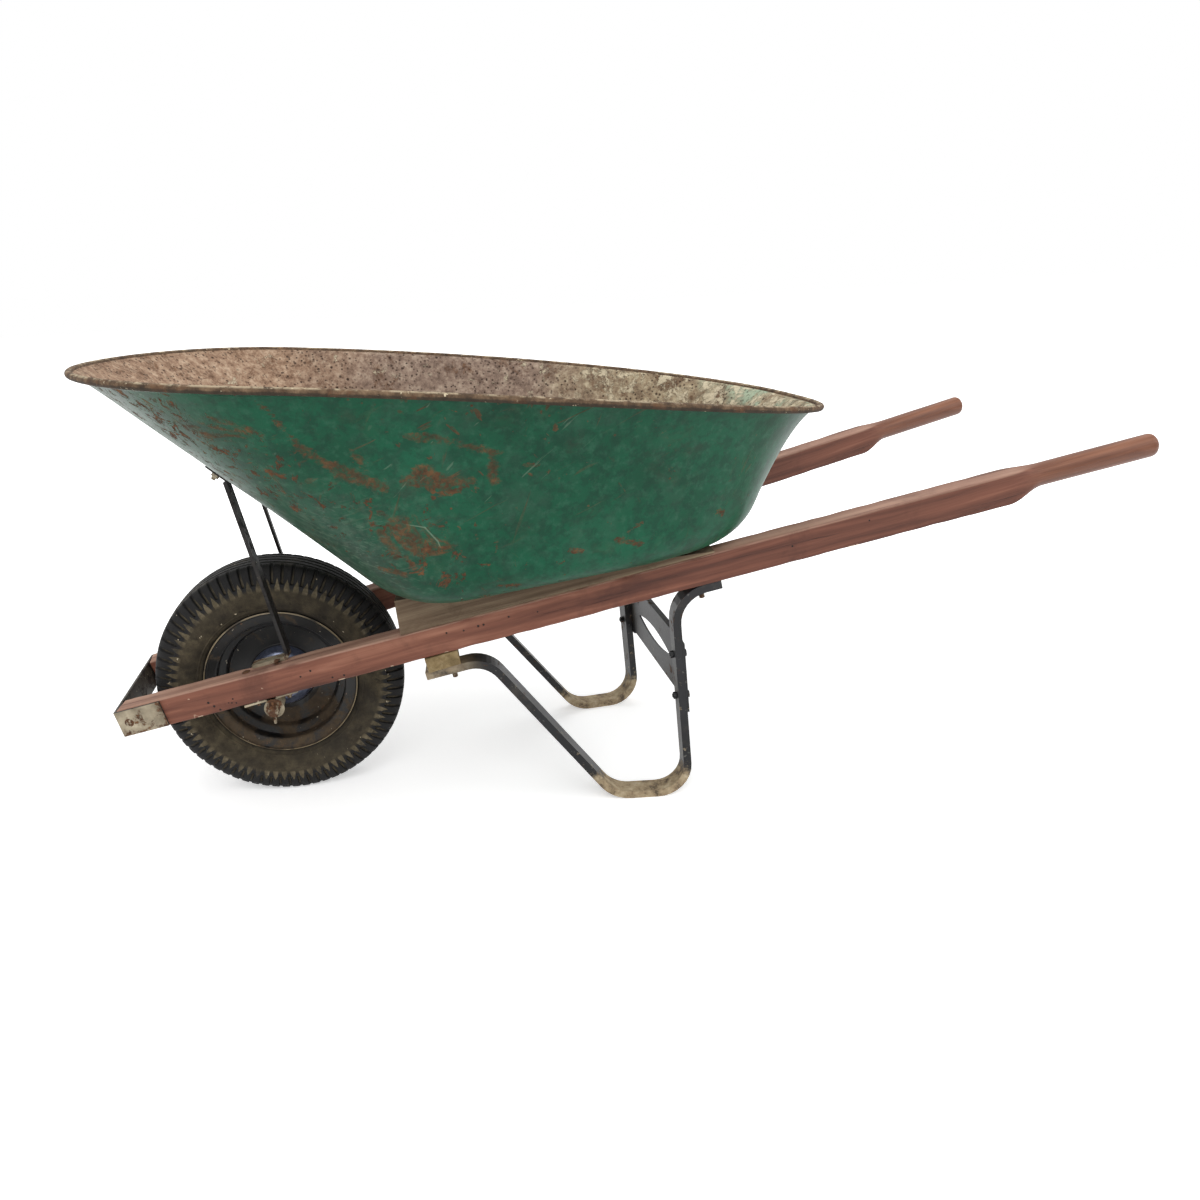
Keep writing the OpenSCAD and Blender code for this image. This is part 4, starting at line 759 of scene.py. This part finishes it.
def build_tray(mats):
    steps, walls, belly = 288, 26, 14
    angles = []
    for i in range(steps):
        a = 2 * math.pi * i / steps
        # more sections beside the flat sides, where the egg's points lie far apart
        angles.append(a - 0.10 * math.sin(4 * a) * (1 if math.cos(a) > -0.2 else 0.4))
    levels = [0.03] + [(j / walls) ** 1.15 for j in range(1, walls + 1)]
    levels += [1 + j / belly for j in range(1, belly + 1)]
    beads = 14
    verts, slots = [], []
    for a in angles:
        o = out_dir(a)
        rim = rim_pt(a)
        push = 1.0 + wave(rim * 0.001, 6, 1.4)
        rim = rim - o * max(0.0, push)
        outer, inner = [], []
        for t in levels:
            p, n = skin(a, t), skin_normal(a, t)
            if t < 1:
                p = p - o * max(0.0, push) * (1 - t) ** 3
            d = dent(p)
            outer.append(p - n * d)
            inner.append(p - n * (d + WALL))
        mid = rim - o * BEAD
        ring = list(reversed(outer))
        for j in range(beads, -1, -1):
            t = math.radians(180 - 300 * j / beads)
            bead_r = BEAD * (1 + 0.05 * noise.noise(Vector((rim.x * 0.02, rim.y * 0.02, t * 2))))
            bead_r = min(bead_r, BEAD)
            ring.append(mid + o * bead_r * math.cos(t) + Vector((0, 0, bead_r * math.sin(t))))
        ring += inner
        verts += [v * MM + Vector((OX * MM, 0, 0)) for v in ring]
    cols = len(levels) * 2 + beads + 1
    faces = grid_faces(steps, cols)
    for f in faces:
        k = min(v % cols for v in f)
        slots.append(0 if k < len(levels) else (1 if k < len(levels) + beads else 2))
    centre_x = WEDGE_X + FLOOR_LEN / 2
    # the flat floor: rings shrinking to the middle, for both skins
    floor_rings = 6
    for lift, col, m in ((0.0, 0, 0), (WALL, cols - 1, 2)):
        prev = [i * cols + col for i in range(steps)]
        for r in range(1, floor_rings):
            k = r / floor_rings
            cur = []
            for i in range(steps):
                p = verts[i * cols + col]
                x = p.x + (centre_x * MM + OX * MM - p.x) * k
                y = p.y * (1 - k)
                z = (floor_z(x / MM - OX) + lift) * MM
                if m == 2:
                    z += 0.0006 * max(0.0, noise.noise(Vector((x * 9, y * 9, 3)))) * min(1, k * 2)
                verts.append(Vector((x, y, z)))
                cur.append(len(verts) - 1)
            for i in range(steps):
                j = (i + 1) % steps
                faces.append((prev[i], prev[j], cur[j], cur[i]))
                slots.append(m)
            prev = cur
        verts.append(Vector((centre_x * MM + OX * MM, 0, (floor_z(centre_x) + lift) * MM)))
        c = len(verts) - 1
        for i in range(steps):
            faces.append((prev[i], prev[(i + 1) % steps], c))
            slots.append(m)
    ob = new_mesh("tray_skin", verts, faces, mats, "frame", 50, slots)
    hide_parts("tray")
    return ob


# ---------------------------------------------------------------- tyre
TYRE_HALF = [
    (0, 193.9), (2, 193.9), (3.9, 193.9), (4.5, 193.3), (5.2, 191.0), (7, 190.7), (8.8, 191.0), (9.5, 193.3),
    (10.1, 193.8), (14, 193.8), (17.9, 193.7), (18.5, 193.1), (19.2, 190.9), (21, 190.6), (22.8, 190.9),
    (23.5, 192.9), (24.1, 193.4), (27, 193.2), (30, 192.8), (32.4, 191.9), (34.6, 190.4), (36.6, 188.2),
    (38.4, 185.6), (39.9, 182.6), (41.2, 179.4), (42.3, 176), (43.3, 172.4), (44.2, 169), (44.9, 166.6),
    (46.0, 165.6), (46.4, 164.2), (46.5, 162), (47.0, 158), (47.5, 154), (47.8, 150), (47.8, 146),
    (47.5, 142), (46.9, 138), (46.0, 134.2), (44.8, 131), (43.6, 128.8), (43.7, 127.6), (43.3, 126.6),
    (42.2, 125.9), (41.0, 124.2), (39.4, 122.2), (37.6, 120.6), (36, 119.4), (34.9, 117.6), (34.4, 114),
    (34.2, 109), (33.6, 104),
]
LUGS = 72
LUG_DEPTH = 3.6
TYRE_HALF_W, TYRE_BEAD_R, TYRE_SECTION = 48, 120, 74


def build_tyre(mat):
    half = TYRE_HALF
    profile = [(-y, r) for y, r in reversed(half[1:])] + list(half)
    n_half = len(half)
    stations = []
    for i in range(LUGS):
        for f in (0.0, 0.30, 0.58, 0.655, 0.80, 0.945):
            stations.append(((i + f) / LUGS * 2 * math.pi, 1.0 if f in (0.655, 0.80) else 0.0))
    verts, groove = [], []
    cols = len(profile)
    for ang, low in stations:
        for c, (y, r) in enumerate(profile):
            k = abs(c - (n_half - 1))
            # lugs run from the outer rib down the shoulder; the two sides are half a step apart
            side = 1 if c >= n_half - 1 else -1
            depth = 0.0
            if 18 <= k <= 28:
                mask = min(1.0, (k - 17) / 2.5) * min(1.0, (28.6 - k) / 1.5)
                depth = LUG_DEPTH * mask * low
            a = ang + (0 if side > 0 else math.pi / LUGS) * (1 if k > 14 else (k / 14))
            normal = Vector((0, y / TYRE_HALF_W * 0.9, (r - TYRE_BEAD_R) / TYRE_SECTION)).normalized()
            p = Vector((0, y, r)) - normal * depth
            wob = 0.35 * noise.noise(Vector((math.cos(a) * 4, math.sin(a) * 4, y * 0.05))) - 0.25
            wob *= 0.0 if 31 <= k <= 33 else 1.0
            radius = (p.z + min(0.0, wob)) * MM
            verts.append(Vector((AXLE.x + radius * math.cos(a), p.y * MM, AXLE.z + radius * math.sin(a))))
            g = 1.0 if depth > 1.5 else 0.0
            if k in (5, 13):
                g = 0.45
            if 26 <= k <= 29:
                g = max(g, 0.5)
            groove.append(g)
    faces = grid_faces(len(stations), cols)
    # close the ring on its inside, hidden by the rim
    for i in range(len(stations)):
        j = (i + 1) % len(stations)
        faces.append((i * cols, j * cols, j * cols + cols - 1, i * cols + cols - 1))
    ob = new_mesh("tyre_tread", verts, faces, [mat], "wheel", 32, None, None, {"groove": groove})
    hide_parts("tyre")
    return ob


# ---------------------------------------------------------------- handles
TIP_R = 8  # the round over a grip's end, in mm


def handle_matrix(side):
    """The handle's own frame: side is -1 for the left one. Its Y is towards +Y of the barrow."""
    x = Vector((RC * SC, side * RC * SS, RS))
    y = Vector((-side * SS, SC, 0))
    z = x.cross(y)
    m = Matrix.Identity(4)
    for i in range(3):
        m[i][0], m[i][1], m[i][2] = x[i], y[i], z[i]
    m[0][3], m[1][3], m[2][3] = (OX - NOSE_X) * MM, side * NOSE_Y * MM, NOSE_Z * MM
    return m


def section(half_w, top, bottom, radius, per=6, mids=5):
    """A rounded rectangle as (y, z) points, from the bottom left corner round."""
    pts = []
    corners = [(-half_w + radius, bottom + radius, 180), (half_w - radius, bottom + radius, 270),
               (half_w - radius, top - radius, 0), (-half_w + radius, top - radius, 90)]
    for i, (cy, cz, a0) in enumerate(corners):
        for j in range(per + 1):
            a = math.radians(a0 + 90 * j / per)
            pts.append((cy + radius * math.cos(a), cz + radius * math.sin(a)))
        next_y, next_z, next_a = corners[(i + 1) % 4]
        a = math.radians(a0 + 90)
        p = (cy + radius * math.cos(a), cz + radius * math.sin(a))
        b = math.radians(next_a)
        q = (next_y + radius * math.cos(b), next_z + radius * math.sin(b))
        for j in range(1, mids + 1):
            t = j / (mids + 1)
            pts.append((p[0] + (q[0] - p[0]) * t, p[1] + (q[1] - p[1]) * t))
    return pts


def build_handle(name, node, side, mat):
    seed = 11.3 if side < 0 else 47.9
    stations = [0.0, 1.2, 3.0] + [6 + 8 * i for i in range(164)]
    stations = [s for s in stations if s < GRIP_START - SHOULDER]
    stations += [GRIP_START - SHOULDER + 3 * i for i in range(int(SHOULDER / 3) + 1)]
    s = GRIP_START + 4
    while s < HANDLE_LEN - 9:
        stations.append(s)
        s += 8
    turns = [math.radians(a) for a in (0, 20, 40, 60, 78, 90)]
    tip = [(HANDLE_LEN - TIP_R + TIP_R * math.sin(a), TIP_R - TIP_R * math.cos(a)) for a in turns]
    verts, cols = [], None
    for s in stations:
        m = min(1.0, max(0.0, (s - (GRIP_START - SHOULDER)) / SHOULDER))
        m = m * m * (3 - 2 * m)
        rad = 2.6 + (GRIP_R - 2.61) * m
        hw = HANDLE_W / 2 + (GRIP_R - HANDLE_W / 2) * m
        bottom = -HANDLE_H + (HANDLE_H - 2 * GRIP_R) * m
        end = 0.0
        if s < 3.1:
            end = 1.4 * (1 - s / 3.1) ** 2
        pts = section(hw - end, -end, bottom + end, max(0.8, rad - end))
        cols = len(pts)
        for y, z in pts:
            # worn corners: the nearer to an edge, the more is rubbed away
            ey = abs(y) / hw
            ez = abs(z - bottom / 2) / (-bottom / 2)
            edge = max(0.0, ey + ez - 1.80) * 5 * (1 - m)
            chip = max(0.0, noise.noise(Vector((s * 0.03 + seed, y * 0.11, z * 0.11))) + 0.05)
            wave_mm = 0.35 * abs(noise.noise(Vector((s * 0.012 + seed, y * 0.05, z * 0.05))))
            w = edge * (0.3 + 2.6 * chip) + wave_mm
            cy, cz = y / max(hw, 1), (z - bottom / 2) / (-bottom / 2)
            verts.append(Vector((s, y - cy * w, z - cz * w)) * MM)
    for s, cut in tip:
        for y, z in section(GRIP_R - cut, -cut, -2 * GRIP_R + cut, max(0.5, GRIP_R - 0.01 - cut)):
            verts.append(Vector((s, y, z)) * MM)
    rows = len(stations) + len(tip)
    faces = grid_faces(rows, cols, False, True)
    for row, flip in ((0, True), (rows - 1, False)):
        ring = [row * cols + i for i in range(cols)]
        faces.append(tuple(reversed(ring)) if flip else tuple(ring))
    ob = new_mesh(name, verts, faces, [mat], "frame", 35, None, handle_matrix(side))
    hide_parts(node)
    return ob


# ---------------------------------------------------------------- lights, floor and camera
FLOOR_NEAR, FLOOR_FAR = 0.8, 1.9    # metres from the origin, between which the floor turns white
FLOOR_DIM, FLOOR_WHITE = 0.44, 1.1  # how bright the camera sees it there
SKY = 0.62                          # the strength of the even white light from all around
CAMERA_AT = (229.6, -1371.7, 759.1)
YAW, PITCH, ROLL = 0.102, 0.385, -0.057
LENS, SENSOR = 26.91, 36


def stage(colour):
    me = bpy.data.meshes.new("floor")
    s = 30
    me.from_pydata([(-s, -s, 0), (s, -s, 0), (s, s, 0), (-s, s, 0)], [], [(0, 1, 2, 3)])
    ob = bpy.data.objects.new("floor", me)
    bpy.context.scene.collection.objects.link(ob)
    mat = bpy.data.materials.new("floor_white")
    mat.use_nodes = True
    nt = mat.node_tree
    b = nt.nodes["Principled BSDF"]
    b.inputs["Base Color"].default_value = colour
    b.inputs["Roughness"].default_value = 1.0
    b.inputs["Specular IOR Level"].default_value = 0.0
    path = nt.nodes.new("ShaderNodeLightPath")
    k = nt.nodes.new("ShaderNodeMath")
    k.operation = "MULTIPLY"
    seen = nt.nodes.new("ShaderNodeMath")
    seen.operation = "MAXIMUM"
    nt.links.new(path.outputs["Is Camera Ray"], seen.inputs[0])
    nt.links.new(path.outputs["Is Glossy Ray"], seen.inputs[1])
    nt.links.new(seen.outputs[0], k.inputs[0])
    # the floor grows brighter away from the object, so that it runs out into plain white
    co = nt.nodes.new("ShaderNodeTexCoord")
    away = nt.nodes.new("ShaderNodeVectorMath")
    away.operation = "LENGTH"
    nt.links.new(co.outputs["Object"], away.inputs[0])
    far = nt.nodes.new("ShaderNodeMapRange")
    far.interpolation_type = "SMOOTHSTEP"
    far.inputs["From Min"].default_value = FLOOR_NEAR
    far.inputs["From Max"].default_value = FLOOR_FAR
    far.inputs["To Min"].default_value = FLOOR_DIM
    far.inputs["To Max"].default_value = FLOOR_WHITE
    nt.links.new(away.outputs["Value"], far.inputs["Value"])
    nt.links.new(far.outputs["Result"], k.inputs[1])
    b.inputs["Emission Color"].default_value = (1, 1, 1, 1)
    nt.links.new(k.outputs[0], b.inputs["Emission Strength"])
    me.materials.append(mat)

    w = bpy.data.worlds.new("studio")
    bpy.context.scene.world = w
    w.use_nodes = True
    nt = w.node_tree
    bg = nt.nodes["Background"]
    bg.inputs["Color"].default_value = (1, 1, 1, 1)
    path = nt.nodes.new("ShaderNodeLightPath")
    seen = nt.nodes.new("ShaderNodeMath")
    seen.operation = "MAXIMUM"
    nt.links.new(path.outputs["Is Camera Ray"], seen.inputs[0])
    nt.links.new(path.outputs["Is Glossy Ray"], seen.inputs[1])
    mr = nt.nodes.new("ShaderNodeMapRange")
    mr.inputs["To Min"].default_value = SKY
    mr.inputs["To Max"].default_value = 1.0
    nt.links.new(seen.outputs[0], mr.inputs["Value"])
    nt.links.new(mr.outputs["Result"], bg.inputs["Strength"])


def lamp(name, loc, target, size, power):
    d = bpy.data.lights.new(name, "AREA")
    d.shape = "DISK"
    d.size = size
    d.energy = power
    ob = bpy.data.objects.new(name, d)
    bpy.context.scene.collection.objects.link(ob)
    ob.location = loc
    ob.rotation_euler = (Vector(target) - Vector(loc)).to_track_quat("-Z", "Y").to_euler()


def camera():
    fwd = Vector((math.sin(YAW) * math.cos(PITCH), math.cos(YAW) * math.cos(PITCH), -math.sin(PITCH)))
    right = Vector((math.cos(YAW), -math.sin(YAW), 0))
    up = right.cross(fwd)
    rolled_right = right * math.cos(ROLL) + up * math.sin(ROLL)
    rolled_up = up * math.cos(ROLL) - right * math.sin(ROLL)
    m = Matrix.Identity(4)
    for i in range(3):
        m[i][0], m[i][1], m[i][2] = rolled_right[i], rolled_up[i], -fwd[i]
    m.translation = Vector(((CAMERA_AT[0] + OX) * MM, CAMERA_AT[1] * MM, CAMERA_AT[2] * MM))
    d = bpy.data.cameras.new("camera")
    d.sensor_width = SENSOR
    d.lens = LENS
    d.shift_x, d.shift_y = 0.075, 0.04
    d.clip_start = 0.05
    ob = bpy.data.objects.new("camera", d)
    bpy.context.scene.collection.objects.link(ob)
    ob.matrix_world = m
    bpy.context.scene.camera = ob


def dress(mat, *names):
    """Gives CAD nodes a material in every slot."""
    for n in names:
        me = nodes[n].data
        if not me.materials:
            me.materials.append(mat)
        for i in range(len(me.materials)):
            me.materials[i] = mat


# ---------------------------------------------------------------- the scene
scene = bpy.context.scene
scene.view_settings.view_transform = "Standard"

build_tray([mat_tray_out(), mat_bead(), mat_tray_in()])
build_tyre(mat_tyre())
wood = mat_handle()
build_handle("left_handle_timber", "left_handle", -1, wood)
build_handle("right_handle_timber", "right_handle", 1, wood)

grey_wood = [srgb(70, 56, 44), srgb(114, 96, 78), srgb(152, 134, 110)]
for side, label in ((-1, "left"), (1, "right")):
    rot = (0, RISE, -side * SPLAY)
    dress(mat_block(f"wedge_wood_{label}", rot, *grey_wood), f"{label}_wedge")
brown_wood = [srgb(92, 78, 54), srgb(138, 118, 84), srgb(172, 154, 116)]
dress(mat_block("bolster_wood", (0, RISE, math.pi / 2), *brown_wood), "front_bolster")
black = mat_black_steel()
dress(black, "left_leg", "right_leg", "leg_brace")
plate = mat_rusty_steel("guard_zinc", 0.54, 50, off_side)
dress(plate, "nose_guard")
rod = mat_rusty_steel("brace_steel", 0.54, 70, above(NOSE_Z * MM + 0.062))
dress(rod, "left_tray_brace", "right_tray_brace")
dress(mat_rusty_steel("bracket_zinc", 0.56, 60), "left_axle_bracket", "right_axle_bracket")
bolt = mat_rusty_steel("bolt_zinc", 0.46, 120)
dress(bolt, *[n for n in nodes if n.endswith(("_bolts", "_nuts"))])
dress(black, "leg_brace_bolts", "leg_brace_nuts")
dress(mat_rusty_steel("axle_steel", 0.46, 90), "axle", "axle_spacers", "axle_washers", "axle_cotters")
dress(mat_rim(), "left_rim_half", "right_rim_half", "hub_tube")
dress(mat_plain("bearing_bronze", srgb(120, 92, 52), 0.45, 0.7), "left_bearing", "right_bearing")
dress(mat_plain("tube_rubber", srgb(30, 29, 28), 0.7), "inner_tube", "valve_stem")

stage(grey(0.9))
lamp("key", (-0.9, -2.6, 3.2), (0, 0, 0.3), 2.6, 58)
lamp("fill", (2.4, -1.8, 2.4), (0, 0, 0.3), 2.4, 26)
lamp("top", (0.0, 1.2, 3.4), (0, 0, 0.3), 3.0, 40)
camera()
